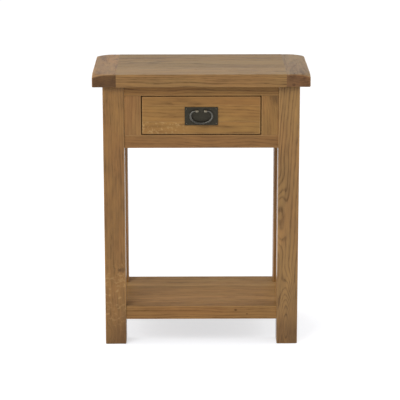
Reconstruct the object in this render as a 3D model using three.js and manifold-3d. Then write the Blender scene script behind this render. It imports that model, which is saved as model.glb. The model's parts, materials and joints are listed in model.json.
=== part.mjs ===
// A small rustic oak telephone table: four square legs, one drawer under a thick top, and a low shelf.
// Millimetres, +Z up. The origin is on the floor, in the middle of the table. The front looks along -Y.

import * as THREE from 'three';
import { mergeVertices } from 'three/addons/utils/BufferGeometryUtils.js';
import Module from 'manifold-3d';

const wasm = await Module();
wasm.setup();

// Driving dimensions

// Whole table
const TOP_WIDTH = 600;
const TOP_DEPTH = 330;
const TABLE_HEIGHT = 780;
const SIDE_OVERHANG = 28;
const FACE_OVERHANG = 15;

// Legs
const LEG_SIZE = 59;
const LEG_ARRIS = 2.5;

// Top, made of long boards between two end cleats
const TOP_THICKNESS = 36;
const TOP_BOARD_COUNT = 3;
const TOP_ARRIS = 2.5;
const CLEAT_WIDTH = 66;
const TONGUE_THICKNESS = 12;
const TONGUE_LENGTH = 20;
const GROOVE_STOP = 22;

// The top's corners are worn down by hand, as if turned about a point this far in from both edges
const WEAR_RADIUS = 60;
const WEAR_DROP = 8.8;

// Aprons and the frame that holds the drawer
const APRON_HEIGHT = 174;
const APRON_THICKNESS = 22;
const APRON_RECESS = 4;
const TOP_RAIL_HEIGHT = 27;
const BOTTOM_RAIL_HEIGHT = 37;
const STILE_WIDTH = 47;
const TENON_LENGTH = 25;
const STILE_TENON_LENGTH = 9;

// Shelf
const SHELF_HEIGHT = 73;
const SHELF_THICKNESS = 38;
const SHELF_BOARD_COUNT = 3;
const SHELF_ARRIS = 2;
const DOWEL_DIAMETER = 10;
const DOWEL_LENGTH = 50;

// What the drawer runs in
const RUNNER_HEIGHT = 22;
const GUIDE_WIDTH = 14;
const GUIDE_HEIGHT = 20;
const STOP_LENGTH = 30;

// Drawer box
const DRAWER_FRONT_THICKNESS = 20;
const DRAWER_FRONT_ARRIS = 1.5;
const DRAWER_SIDE_THICKNESS = 12;
const DRAWER_BACK_THICKNESS = 12;
const DRAWER_BOTTOM_THICKNESS = 6;
const DRAWER_BOTTOM_RISE = 8;
const DRAWER_GROOVE_DEPTH = 6;
const DRAWER_BACK_INSET = 6;
const DRAWER_BACK_DROP = 6;
const DOVETAIL_COUNT = 3;
const DOVETAIL_LAP = 14;
const DOVETAIL_FLARE = 2;

// Handle: a plate, two posts through it, and a bail that hangs between them
const PLATE_WIDTH = 92;
const PLATE_HEIGHT = 51;
const PLATE_THICKNESS = 2.5;
const PLATE_CHAMFER = 0.6;
const PLATE_BELOW_MIDDLE = 1.3;
const POST_SPACING = 23.5;
const POST_WIDTH = 10;
const POST_HEIGHT = 7;
const POST_DEPTH = 9;
const POST_FROM_PLATE_TOP = 11;
const POST_SHANK_DIAMETER = 4;
const POST_SHANK_SPARE = 2;
const NUT_WIDTH = 8;
const NUT_THICKNESS = 4;
const BAIL_WIDTH = 66;
const BAIL_DROP = 38;
const BAIL_SHOULDER_DROP = 14;
const BAIL_SHOULDER_RUN = 11;
const BAIL_PIN_DIAMETER = 3.4;
const BAIL_SIDE_DIAMETER = 6;
const BAIL_GRIP_DIAMETER = 7.6;
const BAIL_PIN_INSERTION = 7;
const BAIL_AXIS_FROM_PLATE = 5.4;
const TACK_INSET = 5;
const TACK_HEAD_DIAMETER = 3.6;
const TACK_HEAD_HEIGHT = 1.2;
const TACK_SHANK_DIAMETER = 1.8;
const TACK_LENGTH = 11;

// Wood screws
const TOP_SCREW_DIAMETER = 4.5;
const TOP_SCREW_HEAD_DIAMETER = 9;
const TOP_SCREW_LENGTH = 40;
const TOP_SCREW_FROM_END = 44;
const TOP_SCREW_SINK = 8;
const BOTTOM_SCREW_DIAMETER = 3;
const BOTTOM_SCREW_HEAD_DIAMETER = 6;
const BOTTOM_SCREW_LENGTH = 22;
const BOTTOM_SCREW_FROM_SIDE = 42;
const BOTTOM_SCREW_COUNT = 3;

// Clearances
const GLUE_LINE = 0.1;
const FIT = 0.3;
const RUN_GAP = 0.3;
const GUIDE_GAP = 0.8;
const DRAWER_GAP = 2.2;
const OVERRUN = 5;

// Shares of the piece that carries each detail
const TENON_THICKNESS_SHARE = 1 / 3;
const TENON_SHOULDER_SHARE = 0.2;
const STUB_LENGTH_SHARE = 0.7;
const STUB_SHOULDER_SHARE = 0.25;
const TAIL_SHARE = 0.62;
const CORNER_TO_ARRIS_SHARE = 1.6;
const SCREW_HEAD_SHARE = 0.5;
const SCREW_POINT_SHARE = 0.18;

// Sides of round pieces, and steps along curves
const ROUND_SIDES = 20;
const SMALL_ROUND_SIDES = 12;
const NUT_SIDES = 6;
const ARRIS_STEPS = 3;
const WEAR_SIDES = 96;
const WEAR_STEPS = 8;
const BAIL_SIDES = 12;
const BAIL_SHOULDER_STEPS = 8;
const BAIL_BOW_STEPS = 36;

// Places worked out from the driving dimensions
const TOP_UNDERSIDE = TABLE_HEIGHT - TOP_THICKNESS;
const LEG_HEIGHT = TOP_UNDERSIDE - GLUE_LINE;
const BASE_WIDTH = TOP_WIDTH - 2 * SIDE_OVERHANG;
const BASE_DEPTH = TOP_DEPTH - 2 * FACE_OVERHANG;
const LEG_X = (BASE_WIDTH - LEG_SIZE) / 2;
const LEG_Y = (BASE_DEPTH - LEG_SIZE) / 2;
const SPAN_X = BASE_WIDTH - 2 * LEG_SIZE - 2 * GLUE_LINE;
const SPAN_Y = BASE_DEPTH - 2 * LEG_SIZE - 2 * GLUE_LINE;
const APRON_X = BASE_WIDTH / 2 - APRON_RECESS - APRON_THICKNESS / 2;
const APRON_Y = BASE_DEPTH / 2 - APRON_RECESS - APRON_THICKNESS / 2;
const APRON_BOTTOM = TOP_UNDERSIDE - APRON_HEIGHT;
const FRAME_FACE_Y = -BASE_DEPTH / 2 + APRON_RECESS;
const FRAME_BACK_Y = FRAME_FACE_Y + APRON_THICKNESS;
const BACK_APRON_FACE_Y = APRON_Y - APRON_THICKNESS / 2;
const OPENING_BOTTOM = APRON_BOTTOM + BOTTOM_RAIL_HEIGHT;
const OPENING_TOP = TOP_UNDERSIDE - TOP_RAIL_HEIGHT;
const OPENING_HEIGHT = OPENING_TOP - OPENING_BOTTOM;
const OPENING_WIDTH = SPAN_X - 2 * STILE_WIDTH;
const TENON_THICKNESS = APRON_THICKNESS * TENON_THICKNESS_SHARE;
const STUB_LENGTH = (APRON_THICKNESS - TENON_THICKNESS) / 2 * STUB_LENGTH_SHARE;
const DRAWER_WIDTH = OPENING_WIDTH - 2 * DRAWER_GAP;
const GUIDE_X = DRAWER_WIDTH / 2 + GUIDE_GAP;
const RUNNER_OUTER_X = GUIDE_X + GUIDE_WIDTH;
const RUNNER_INNER_X = DRAWER_WIDTH / 2 - DRAWER_SIDE_THICKNESS;
const RUNNER_WIDTH = RUNNER_OUTER_X - RUNNER_INNER_X;
const RUNNER_X = (RUNNER_OUTER_X + RUNNER_INNER_X) / 2;
const RUNNER_LENGTH = BACK_APRON_FACE_Y - FRAME_BACK_Y - 2 * GLUE_LINE;
const RUNNER_Y = (BACK_APRON_FACE_Y + FRAME_BACK_Y) / 2;
const TAU = 2 * Math.PI;
const LEFT_AND_RIGHT = [['left', -1], ['right', 1]];

// Colours of the finishes
const OAK_TOP = '#97805f';
const OAK_END_GRAIN = '#6f5238';
const OAK_LEG = '#8c6b44';
const OAK_FRAME = '#846645';
const OAK_DRAWER = '#9b7546';
const OAK_SHELF = '#826141';
const OAK_INSIDE = '#b99869';
const BLACKENED_IRON = '#3b3a33';
const WORN_IRON = '#6d6a62';
const WORN_POST = '#8f887a';
const STEEL = '#9a9a96';
const WAXED_OAK = { roughness: 0.62, metalness: 0 };
const BARE_METAL = { roughness: 0.45, metalness: 0.85 };

// A closed solid from any three.js geometry
function solid(geometry) {
  geometry.deleteAttribute('normal');
  geometry.deleteAttribute('uv');
  const merged = mergeVertices(geometry);
  return new wasm.Manifold(new wasm.Mesh({
    numProp: 3,
    vertProperties: Float32Array.from(merged.attributes.position.array),
    triVerts: Uint32Array.from(merged.index.array),
  }));
}

// Back from a solid to a three.js geometry
function geometryOf(body) {
  const mesh = body.getMesh();
  const geometry = new THREE.BufferGeometry();
  geometry.setAttribute('position', new THREE.BufferAttribute(mesh.vertProperties, mesh.numProp));
  geometry.setIndex(new THREE.BufferAttribute(mesh.triVerts, 1));
  geometry.computeVertexNormals();
  return geometry;
}

// A named mesh with its own finish, placed in its group
function addPiece(group, name, body, finish, position = [0, 0, 0]) {
  const material = new THREE.MeshStandardMaterial(finish);
  const mesh = new THREE.Mesh(geometryOf(body), material);
  mesh.name = name;
  mesh.position.set(...position);
  group.add(mesh);
  return mesh;
}

function addOak(group, name, body, color, position) {
  return addPiece(group, name, body, { color, ...WAXED_OAK }, position);
}

function addMetal(group, name, body, color, position) {
  return addPiece(group, name, body, { color, ...BARE_METAL }, position);
}

// A box between two corners
function block(low, high) {
  const size = high.map((value, i) => value - low[i]);
  const centre = high.map((value, i) => (value + low[i]) / 2);
  return solid(new THREE.BoxGeometry(...size).translate(...centre));
}

// A box centred on the origin
function centredBlock(width, depth, height) {
  return solid(new THREE.BoxGeometry(width, depth, height));
}

// A rectangle with round corners, centred on the origin
function roundedRectangle(width, height, radius) {
  const x = width / 2;
  const y = height / 2;
  const shape = new THREE.Shape();
  shape.moveTo(-x + radius, -y);
  shape.lineTo(x - radius, -y);
  shape.absarc(x - radius, -y + radius, radius, -TAU / 4, 0, false);
  shape.lineTo(x, y - radius);
  shape.absarc(x - radius, y - radius, radius, 0, TAU / 4, false);
  shape.lineTo(-x + radius, y);
  shape.absarc(-x + radius, y - radius, radius, TAU / 4, TAU / 2, false);
  shape.lineTo(-x, -y + radius);
  shape.absarc(-x + radius, -y + radius, radius, TAU / 2, 3 * TAU / 4, false);
  return shape;
}

// An upright bar or a flat slab on z = 0, with round upright corners and softened ends
function softSlab(width, depth, height, arris) {
  const outline = roundedRectangle(width, depth, arris * CORNER_TO_ARRIS_SHARE);
  const geometry = new THREE.ExtrudeGeometry(outline, {
    depth: height - 2 * arris,
    curveSegments: ARRIS_STEPS,
    bevelEnabled: true,
    bevelThickness: arris,
    bevelSize: arris,
    bevelOffset: -arris,
    bevelSegments: ARRIS_STEPS,
  });
  return solid(geometry.translate(0, 0, arris));
}

// A solid of revolution about +Z from a profile of [radius, height] pairs
function turned(profile, sides) {
  const points = profile.map(([radius, height]) => new THREE.Vector2(radius, height));
  return solid(new THREE.LatheGeometry(points, sides).rotateX(TAU / 4));
}

// A cylinder from z = 0 up
function rod(diameter, length, sides = ROUND_SIDES) {
  const radius = diameter / 2;
  return turned([[0, 0], [radius, 0], [radius, length], [0, length]], sides);
}

// Turn a solid that stands on +Z to lie along another axis
function lieAlongX(body) {
  return body.rotate([0, 90, 0]);
}

function lieAlongY(body) {
  return body.rotate([-90, 0, 0]);
}

// A flat-headed wood screw: the head's face is on z = 0 and the point is up
function woodScrew(diameter, headDiameter, length) {
  const headHeight = headDiameter * SCREW_HEAD_SHARE;
  const pointHeight = length * SCREW_POINT_SHARE;
  return turned([
    [0, 0],
    [headDiameter / 2, 0],
    [diameter / 2, headHeight],
    [diameter / 2, length - pointHeight],
    [0, length],
  ], SMALL_ROUND_SIDES);
}

// The hole that a wood screw needs, with its head sunk below the surface by a given depth
function woodScrewHole(diameter, headDiameter, length, sink) {
  const headHeight = headDiameter * SCREW_HEAD_SHARE;
  const headRadius = headDiameter / 2 + FIT;
  const radius = diameter / 2 + FIT;
  return turned([
    [0, -sink - OVERRUN],
    [headRadius, -sink - OVERRUN],
    [headRadius, FIT],
    [radius, headHeight + FIT],
    [radius, length + FIT],
    [0, length + FIT],
  ], SMALL_ROUND_SIDES);
}

// A tenon's height on a board of a given height
function tenonHeight(boardHeight) {
  return boardHeight * (1 - 2 * TENON_SHOULDER_SHARE);
}

// A board along X with a tenon at each end
function tenonedBoard(length, height) {
  const reach = length + 2 * TENON_LENGTH;
  return centredBlock(length, APRON_THICKNESS, height)
    .add(centredBlock(reach, TENON_THICKNESS, tenonHeight(height)));
}

// The pocket for one tenon along X, centred where the tenon's shoulder meets the leg
function tenonPocket(boardHeight) {
  return centredBlock(
    2 * (TENON_LENGTH + GLUE_LINE + FIT),
    TENON_THICKNESS + 2 * FIT,
    tenonHeight(boardHeight) + 2 * FIT,
  );
}

// The pocket for a stub tenon of a drawer runner, centred on the face that it enters
function stubPocket() {
  return centredBlock(
    RUNNER_WIDTH * (1 - 2 * STUB_SHOULDER_SHARE) + 2 * FIT,
    2 * (STUB_LENGTH + GLUE_LINE + FIT),
    RUNNER_HEIGHT * (1 - 2 * STUB_SHOULDER_SHARE) + 2 * FIT,
  );
}

// Legs

function legBody(sideX, sideY) {
  let leg = softSlab(LEG_SIZE, LEG_SIZE, LEG_HEIGHT, LEG_ARRIS);
  const innerX = -sideX * LEG_SIZE / 2;
  const innerY = -sideY * LEG_SIZE / 2;
  const acrossX = sideX * (LEG_SIZE / 2 - APRON_RECESS - APRON_THICKNESS / 2);
  const acrossY = sideY * (LEG_SIZE / 2 - APRON_RECESS - APRON_THICKNESS / 2);
  const sideApronPocket = tenonPocket(APRON_HEIGHT).rotate([0, 0, 90]);
  leg = leg.subtract(sideApronPocket.translate([acrossX, innerY, APRON_BOTTOM + APRON_HEIGHT / 2]));
  for (const [middle, height] of sideY < 0 ? FRONT_RAILS : BACK_RAIL) {
    leg = leg.subtract(tenonPocket(height).translate([innerX, acrossY, middle]));
  }
  const dowelHole = lieAlongX(rod(DOWEL_DIAMETER + 2 * FIT, DOWEL_LENGTH + 2 * FIT));
  const dowelStart = innerX - DOWEL_LENGTH / 2 - FIT;
  return leg.subtract(dowelHole.translate([dowelStart, 0, SHELF_HEIGHT + SHELF_THICKNESS / 2]));
}

// Middle height and board height of each member that is tenoned into a front or a rear leg
const FRONT_RAILS = [
  [TOP_UNDERSIDE - TOP_RAIL_HEIGHT / 2, TOP_RAIL_HEIGHT],
  [APRON_BOTTOM + BOTTOM_RAIL_HEIGHT / 2, BOTTOM_RAIL_HEIGHT],
];
const BACK_RAIL = [[APRON_BOTTOM + APRON_HEIGHT / 2, APRON_HEIGHT]];

function addLegs(group) {
  for (const [end, sideY] of [['front', -1], ['rear', 1]]) {
    for (const [side, sideX] of LEFT_AND_RIGHT) {
      const place = [sideX * LEG_X, sideY * LEG_Y, 0];
      addOak(group, `leg_${end}_${side}`, legBody(sideX, sideY), OAK_LEG, place);
    }
  }
}

// Aprons and the drawer frame

// The height given to a member under the top, less the glue line above it
const GLUED_APRON_HEIGHT = APRON_HEIGHT - GLUE_LINE;
const GLUED_TOP_RAIL_HEIGHT = TOP_RAIL_HEIGHT - GLUE_LINE;

function addAprons(group) {
  const middle = APRON_BOTTOM + GLUED_APRON_HEIGHT / 2;
  for (const [side, sideX] of LEFT_AND_RIGHT) {
    const apron = tenonedBoard(SPAN_Y, GLUED_APRON_HEIGHT);
    const mesh = addOak(group, `side_apron_${side}`, apron, OAK_FRAME, [sideX * APRON_X, 0, middle]);
    mesh.rotation.z = TAU / 4;
  }
  let back = tenonedBoard(SPAN_X, GLUED_APRON_HEIGHT);
  for (const [, sideX] of LEFT_AND_RIGHT) {
    const stubHeight = OPENING_BOTTOM - RUNNER_HEIGHT / 2 - middle;
    back = back.subtract(stubPocket().translate([sideX * RUNNER_X, -APRON_THICKNESS / 2, stubHeight]));
  }
  addOak(group, 'back_apron', back, OAK_FRAME, [0, APRON_Y, middle]);
}

// The pocket in a rail for a stile's stub tenon, centred on the rail's edge
function stilePocket() {
  return centredBlock(
    tenonHeight(STILE_WIDTH) + 2 * FIT,
    TENON_THICKNESS + 2 * FIT,
    2 * (STILE_TENON_LENGTH + GLUE_LINE + FIT),
  );
}

function addDrawerFrame(group) {
  const stileX = OPENING_WIDTH / 2 + STILE_WIDTH / 2;
  const stileHeight = OPENING_HEIGHT - 2 * GLUE_LINE;
  let topRail = tenonedBoard(SPAN_X, GLUED_TOP_RAIL_HEIGHT);
  let bottomRail = tenonedBoard(SPAN_X, BOTTOM_RAIL_HEIGHT);
  for (const [side, sideX] of LEFT_AND_RIGHT) {
    topRail = topRail.subtract(stilePocket().translate([sideX * stileX, 0, -GLUED_TOP_RAIL_HEIGHT / 2]));
    bottomRail = bottomRail
      .subtract(stilePocket().translate([sideX * stileX, 0, BOTTOM_RAIL_HEIGHT / 2]))
      .subtract(stubPocket().translate([
        sideX * RUNNER_X,
        APRON_THICKNESS / 2,
        BOTTOM_RAIL_HEIGHT / 2 - RUNNER_HEIGHT / 2,
      ]));
    const stile = centredBlock(STILE_WIDTH, APRON_THICKNESS, stileHeight)
      .add(centredBlock(tenonHeight(STILE_WIDTH), TENON_THICKNESS, stileHeight + 2 * STILE_TENON_LENGTH));
    const place = [sideX * stileX, -APRON_Y, OPENING_BOTTOM + OPENING_HEIGHT / 2];
    addOak(group, `front_stile_${side}`, stile, OAK_FRAME, place);
  }
  const topPlace = [0, -APRON_Y, OPENING_TOP + GLUED_TOP_RAIL_HEIGHT / 2];
  const bottomPlace = [0, -APRON_Y, APRON_BOTTOM + BOTTOM_RAIL_HEIGHT / 2];
  addOak(group, 'front_rail_top', topRail, OAK_FRAME, topPlace);
  addOak(group, 'front_rail_bottom', bottomRail, OAK_FRAME, bottomPlace);
}

// Runners, guides, stops and kickers

function runnerBody() {
  const stub = centredBlock(
    RUNNER_WIDTH * (1 - 2 * STUB_SHOULDER_SHARE),
    RUNNER_LENGTH + 2 * STUB_LENGTH,
    RUNNER_HEIGHT * (1 - 2 * STUB_SHOULDER_SHARE),
  );
  return centredBlock(RUNNER_WIDTH, RUNNER_LENGTH, RUNNER_HEIGHT).add(stub);
}

// The places of the screws that hold the top, along a kicker
const TOP_SCREW_REACH = RUNNER_LENGTH / 2 - TOP_SCREW_FROM_END;
const TOP_SCREW_PLACES = [-TOP_SCREW_REACH, TOP_SCREW_REACH];

function kickerBody() {
  const height = GLUED_TOP_RAIL_HEIGHT;
  let kicker = centredBlock(RUNNER_WIDTH, RUNNER_LENGTH, height);
  for (const y of TOP_SCREW_PLACES) {
    const hole = woodScrewHole(
      TOP_SCREW_DIAMETER, TOP_SCREW_HEAD_DIAMETER, TOP_SCREW_LENGTH, TOP_SCREW_SINK,
    );
    kicker = kicker.subtract(hole.translate([0, y, TOP_SCREW_SINK - height / 2]));
  }
  return kicker;
}

function addDrawerTrack(group) {
  const guideFloor = OPENING_BOTTOM + GLUE_LINE;
  const stopBack = BACK_APRON_FACE_Y - GLUE_LINE;
  for (const [side, sideX] of LEFT_AND_RIGHT) {
    const runnerPlace = [sideX * RUNNER_X, RUNNER_Y, OPENING_BOTTOM - RUNNER_HEIGHT / 2];
    addOak(group, `drawer_runner_${side}`, runnerBody(), OAK_INSIDE, runnerPlace);

    const guide = centredBlock(GUIDE_WIDTH, RUNNER_LENGTH, GUIDE_HEIGHT);
    const guidePlace = [sideX * (GUIDE_X + GUIDE_WIDTH / 2), RUNNER_Y, guideFloor + GUIDE_HEIGHT / 2];
    addOak(group, `drawer_guide_${side}`, guide, OAK_INSIDE, guidePlace);

    const stop = centredBlock(DRAWER_SIDE_THICKNESS, STOP_LENGTH, GUIDE_HEIGHT);
    const stopPlace = [
      sideX * (DRAWER_WIDTH - DRAWER_SIDE_THICKNESS) / 2,
      stopBack - STOP_LENGTH / 2,
      guideFloor + GUIDE_HEIGHT / 2,
    ];
    addOak(group, `drawer_stop_${side}`, stop, OAK_INSIDE, stopPlace);

    const kickerPlace = [sideX * RUNNER_X, RUNNER_Y, OPENING_TOP + GLUED_TOP_RAIL_HEIGHT / 2];
    addOak(group, `drawer_kicker_${side}`, kickerBody(), OAK_INSIDE, kickerPlace);

    for (const y of TOP_SCREW_PLACES) {
      const end = y < 0 ? 'front' : 'rear';
      const screw = woodScrew(TOP_SCREW_DIAMETER, TOP_SCREW_HEAD_DIAMETER, TOP_SCREW_LENGTH);
      const screwPlace = [sideX * RUNNER_X, RUNNER_Y + y, OPENING_TOP + TOP_SCREW_SINK];
      addMetal(group, `top_screw_${end}_${side}`, screw, STEEL, screwPlace);
    }
  }
}

// Top

// The cutter that wears down one corner: a turned hollow, kept to that corner's own square
function wearCutter(sideX, sideY) {
  const reachShare = Math.SQRT2 - 1;
  const profile = [];
  for (let step = 0; step <= WEAR_STEPS; step += 1) {
    const share = step / WEAR_STEPS;
    profile.push([WEAR_RADIUS * (1 + reachShare * share), TOP_THICKNESS - WEAR_DROP * share ** 1.5]);
  }
  const outer = WEAR_RADIUS * (1 + reachShare) + OVERRUN;
  profile.push([outer, TOP_THICKNESS - WEAR_DROP]);
  profile.push([outer, TOP_THICKNESS + OVERRUN]);
  profile.push([WEAR_RADIUS, TOP_THICKNESS + OVERRUN]);
  profile.push(profile[0]);
  const side = WEAR_RADIUS + OVERRUN;
  const square = block([0, 0, 0], [side, side, TOP_THICKNESS + OVERRUN])
    .translate([sideX < 0 ? -side : 0, sideY < 0 ? -side : 0, 0]);
  const centre = [
    sideX * (TOP_WIDTH / 2 - WEAR_RADIUS),
    sideY * (TOP_DEPTH / 2 - WEAR_RADIUS),
    0,
  ];
  return turned(profile, WEAR_SIDES).intersect(square).translate(centre);
}

function topSlab() {
  let slab = softSlab(TOP_WIDTH, TOP_DEPTH, TOP_THICKNESS, TOP_ARRIS);
  for (const sideX of [-1, 1]) {
    for (const sideY of [-1, 1]) {
      slab = slab.subtract(wearCutter(sideX, sideY));
    }
  }
  return slab;
}

// The boards of a glued panel, front to back: each one's name and its low and high y
function boardStrips(count, low, high) {
  const names = count === 3 ? ['front', 'middle', 'back'] : [];
  const width = (high - low) / count;
  const strips = [];
  for (let i = 0; i < count; i += 1) {
    const start = i === 0 ? low : low + i * width + GLUE_LINE / 2;
    const end = i === count - 1 ? high : low + (i + 1) * width - GLUE_LINE / 2;
    strips.push([names[i] ?? `${i + 1}`, start, end]);
  }
  return strips;
}

function addTop(group) {
  const slab = topSlab();
  const jointX = TOP_WIDTH / 2 - CLEAT_WIDTH;
  const boardX = jointX - GLUE_LINE;
  const tongueLow = (TOP_THICKNESS - TONGUE_THICKNESS) / 2;
  const tongueHigh = tongueLow + TONGUE_THICKNESS;
  const tongueY = TOP_DEPTH / 2 - GROOVE_STOP;

  const groove = block(
    [-jointX - TONGUE_LENGTH - FIT, -tongueY - FIT, tongueLow - FIT],
    [jointX + TONGUE_LENGTH + FIT, tongueY + FIT, tongueHigh + FIT],
  );
  for (const [side, sideX] of LEFT_AND_RIGHT) {
    const outer = sideX * (TOP_WIDTH / 2 + OVERRUN);
    const inner = sideX * jointX;
    const region = block(
      [Math.min(inner, outer), -TOP_DEPTH, -OVERRUN],
      [Math.max(inner, outer), TOP_DEPTH, TOP_THICKNESS + OVERRUN],
    );
    addOak(group, `top_cleat_${side}`, slab.intersect(region).subtract(groove), OAK_END_GRAIN);
  }

  for (const [name, start, end] of boardStrips(TOP_BOARD_COUNT, -TOP_DEPTH / 2, TOP_DEPTH / 2)) {
    const region = block([-boardX, start, -OVERRUN], [boardX, end, TOP_THICKNESS + OVERRUN]);
    const tongues = block(
      [-jointX - TONGUE_LENGTH, Math.max(start, -tongueY), tongueLow],
      [jointX + TONGUE_LENGTH, Math.min(end, tongueY), tongueHigh],
    );
    let board = slab.intersect(region).add(tongues);
    for (const sideX of [-1, 1]) {
      for (const y of TOP_SCREW_PLACES) {
        const hole = rod(TOP_SCREW_DIAMETER + 2 * FIT, TOP_SCREW_LENGTH, SMALL_ROUND_SIDES);
        const screwBase = OPENING_TOP + TOP_SCREW_SINK - TOP_UNDERSIDE + FIT;
        board = board.subtract(hole.translate([sideX * RUNNER_X, RUNNER_Y + y, screwBase]));
      }
    }
    addOak(group, `top_board_${name}`, board, OAK_TOP);
  }
}

// Shelf

function shelfSlab() {
  const front = -BASE_DEPTH / 2 + APRON_RECESS;
  const back = BASE_DEPTH / 2;
  const width = BASE_WIDTH - 2 * APRON_RECESS;
  let slab = softSlab(width, back - front, SHELF_THICKNESS, SHELF_ARRIS)
    .translate([0, (front + back) / 2, 0]);
  const dowelHole = lieAlongX(rod(DOWEL_DIAMETER + 2 * FIT, DOWEL_LENGTH + 2 * FIT));
  for (const sideX of [-1, 1]) {
    const dowelStart = sideX * SHELF_DOWEL_X - DOWEL_LENGTH / 2 - FIT;
    for (const sideY of [-1, 1]) {
      slab = slab
        .subtract(legNotch(sideX, sideY))
        .subtract(dowelHole.translate([dowelStart, sideY * LEG_Y, SHELF_THICKNESS / 2]));
    }
  }
  return slab;
}

// The corner that is cut from the shelf for a leg, out past the leg's outer faces
function legNotch(sideX, sideY) {
  const size = LEG_SIZE + GLUE_LINE + OVERRUN;
  const offset = size / 2 - LEG_SIZE / 2 - GLUE_LINE;
  return centredBlock(size, size, 2 * (SHELF_THICKNESS + OVERRUN))
    .translate([sideX * (LEG_X + offset), sideY * (LEG_Y + offset), 0]);
}

// The dowels between the shelf and the legs lie half in each
const SHELF_DOWEL_X = LEG_X - LEG_SIZE / 2;

function addShelf(group) {
  const slab = shelfSlab();
  const front = -BASE_DEPTH / 2 + APRON_RECESS;
  for (const [name, start, end] of boardStrips(SHELF_BOARD_COUNT, front, BASE_DEPTH / 2)) {
    const region = block(
      [-BASE_WIDTH, start, -OVERRUN],
      [BASE_WIDTH, end, SHELF_THICKNESS + OVERRUN],
    );
    addOak(group, `shelf_board_${name}`, slab.intersect(region), OAK_SHELF);
  }
  for (const [end, sideY] of [['front', -1], ['rear', 1]]) {
    for (const [side, sideX] of LEFT_AND_RIGHT) {
      const dowel = lieAlongX(rod(DOWEL_DIAMETER, DOWEL_LENGTH));
      const place = [sideX * SHELF_DOWEL_X - DOWEL_LENGTH / 2, sideY * LEG_Y, SHELF_THICKNESS / 2];
      addOak(group, `shelf_dowel_${end}_${side}`, dowel, OAK_INSIDE, place);
    }
  }
}

// Drawer. Its own frame has y = 0 on the front's face and z = 0 on the floor of the opening.

const BOX_BOTTOM = RUN_GAP;
const FRONT_BOTTOM = DRAWER_GAP;
const BOX_TOP = OPENING_HEIGHT - DRAWER_GAP;
const BOX_BACK_Y = BACK_APRON_FACE_Y - GLUE_LINE - STOP_LENGTH - RUN_GAP - FRAME_FACE_Y;
const PANEL_BOTTOM = BOX_BOTTOM + DRAWER_BOTTOM_RISE;
const PANEL_TOP = PANEL_BOTTOM + DRAWER_BOTTOM_THICKNESS;
const SIDE_INNER_X = DRAWER_WIDTH / 2 - DRAWER_SIDE_THICKNESS;
const DRAWER_BACK_Y = BOX_BACK_Y - DRAWER_BACK_INSET - DRAWER_BACK_THICKNESS / 2;

// The outline of one dovetail tail in [y, z], grown by a clearance
function tailOutline(index, grow) {
  const pitch = (BOX_TOP - FRONT_BOTTOM) / DOVETAIL_COUNT;
  const middle = FRONT_BOTTOM + (index + 0.5) * pitch;
  const root = pitch * TAIL_SHARE / 2 - DOVETAIL_FLARE + grow;
  const tip = pitch * TAIL_SHARE / 2 + grow;
  const rootY = DRAWER_FRONT_THICKNESS + GLUE_LINE + grow;
  const tipY = DRAWER_FRONT_THICKNESS - DOVETAIL_LAP - grow;
  return [
    [rootY, middle - root],
    [rootY, middle + root],
    [tipY, middle + tip],
    [tipY, middle - tip],
  ];
}

// An outline in [y, z] made into a plate of a given thickness along X, from x = 0
function plateAcrossX(outline, thickness) {
  const shape = new THREE.Shape(outline.map(([y, z]) => new THREE.Vector2(y, z)));
  const geometry = new THREE.ExtrudeGeometry(shape, { depth: thickness, bevelEnabled: false });
  return solid(geometry.rotateX(TAU / 4).rotateZ(TAU / 4));
}

function drawerFrontBody() {
  const height = BOX_TOP - FRONT_BOTTOM;
  let front = softSlab(DRAWER_WIDTH, height, 2 * DRAWER_FRONT_THICKNESS, DRAWER_FRONT_ARRIS)
    .rotate([-90, 0, 0])
    .translate([0, 0, (FRONT_BOTTOM + BOX_TOP) / 2])
    .subtract(block(
      [-DRAWER_WIDTH, DRAWER_FRONT_THICKNESS, -OPENING_HEIGHT],
      [DRAWER_WIDTH, 3 * DRAWER_FRONT_THICKNESS, 2 * OPENING_HEIGHT],
    ));
  for (const sideX of [-1, 1]) {
    for (let i = 0; i < DOVETAIL_COUNT; i += 1) {
      const socket = plateAcrossX(tailOutline(i, FIT), DRAWER_SIDE_THICKNESS + FIT + OVERRUN);
      const start = sideX > 0 ? SIDE_INNER_X - FIT : -DRAWER_WIDTH / 2 - OVERRUN;
      front = front.subtract(socket.translate([start, 0, 0]));
    }
  }
  const groove = block(
    [-SIDE_INNER_X, DRAWER_FRONT_THICKNESS - DRAWER_GROOVE_DEPTH - FIT, PANEL_BOTTOM - FIT],
    [SIDE_INNER_X, DRAWER_FRONT_THICKNESS + OVERRUN, PANEL_TOP + FIT],
  );
  front = front.subtract(groove);
  for (const x of POST_PLACES) {
    const bore = lieAlongY(rod(POST_SHANK_DIAMETER + 2 * FIT, DRAWER_FRONT_THICKNESS + 2 * OVERRUN));
    front = front.subtract(bore.translate([x, -OVERRUN, PLATE_MIDDLE_Z + POST_Z]));
  }
  for (const [, x, z] of TACK_PLACES) {
    const hole = lieAlongY(rod(TACK_SHANK_DIAMETER + 2 * FIT, TACK_LENGTH + FIT, SMALL_ROUND_SIDES));
    front = front.subtract(hole.translate([x, -PLATE_THICKNESS, PLATE_MIDDLE_Z + z]));
  }
  return front;
}

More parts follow.
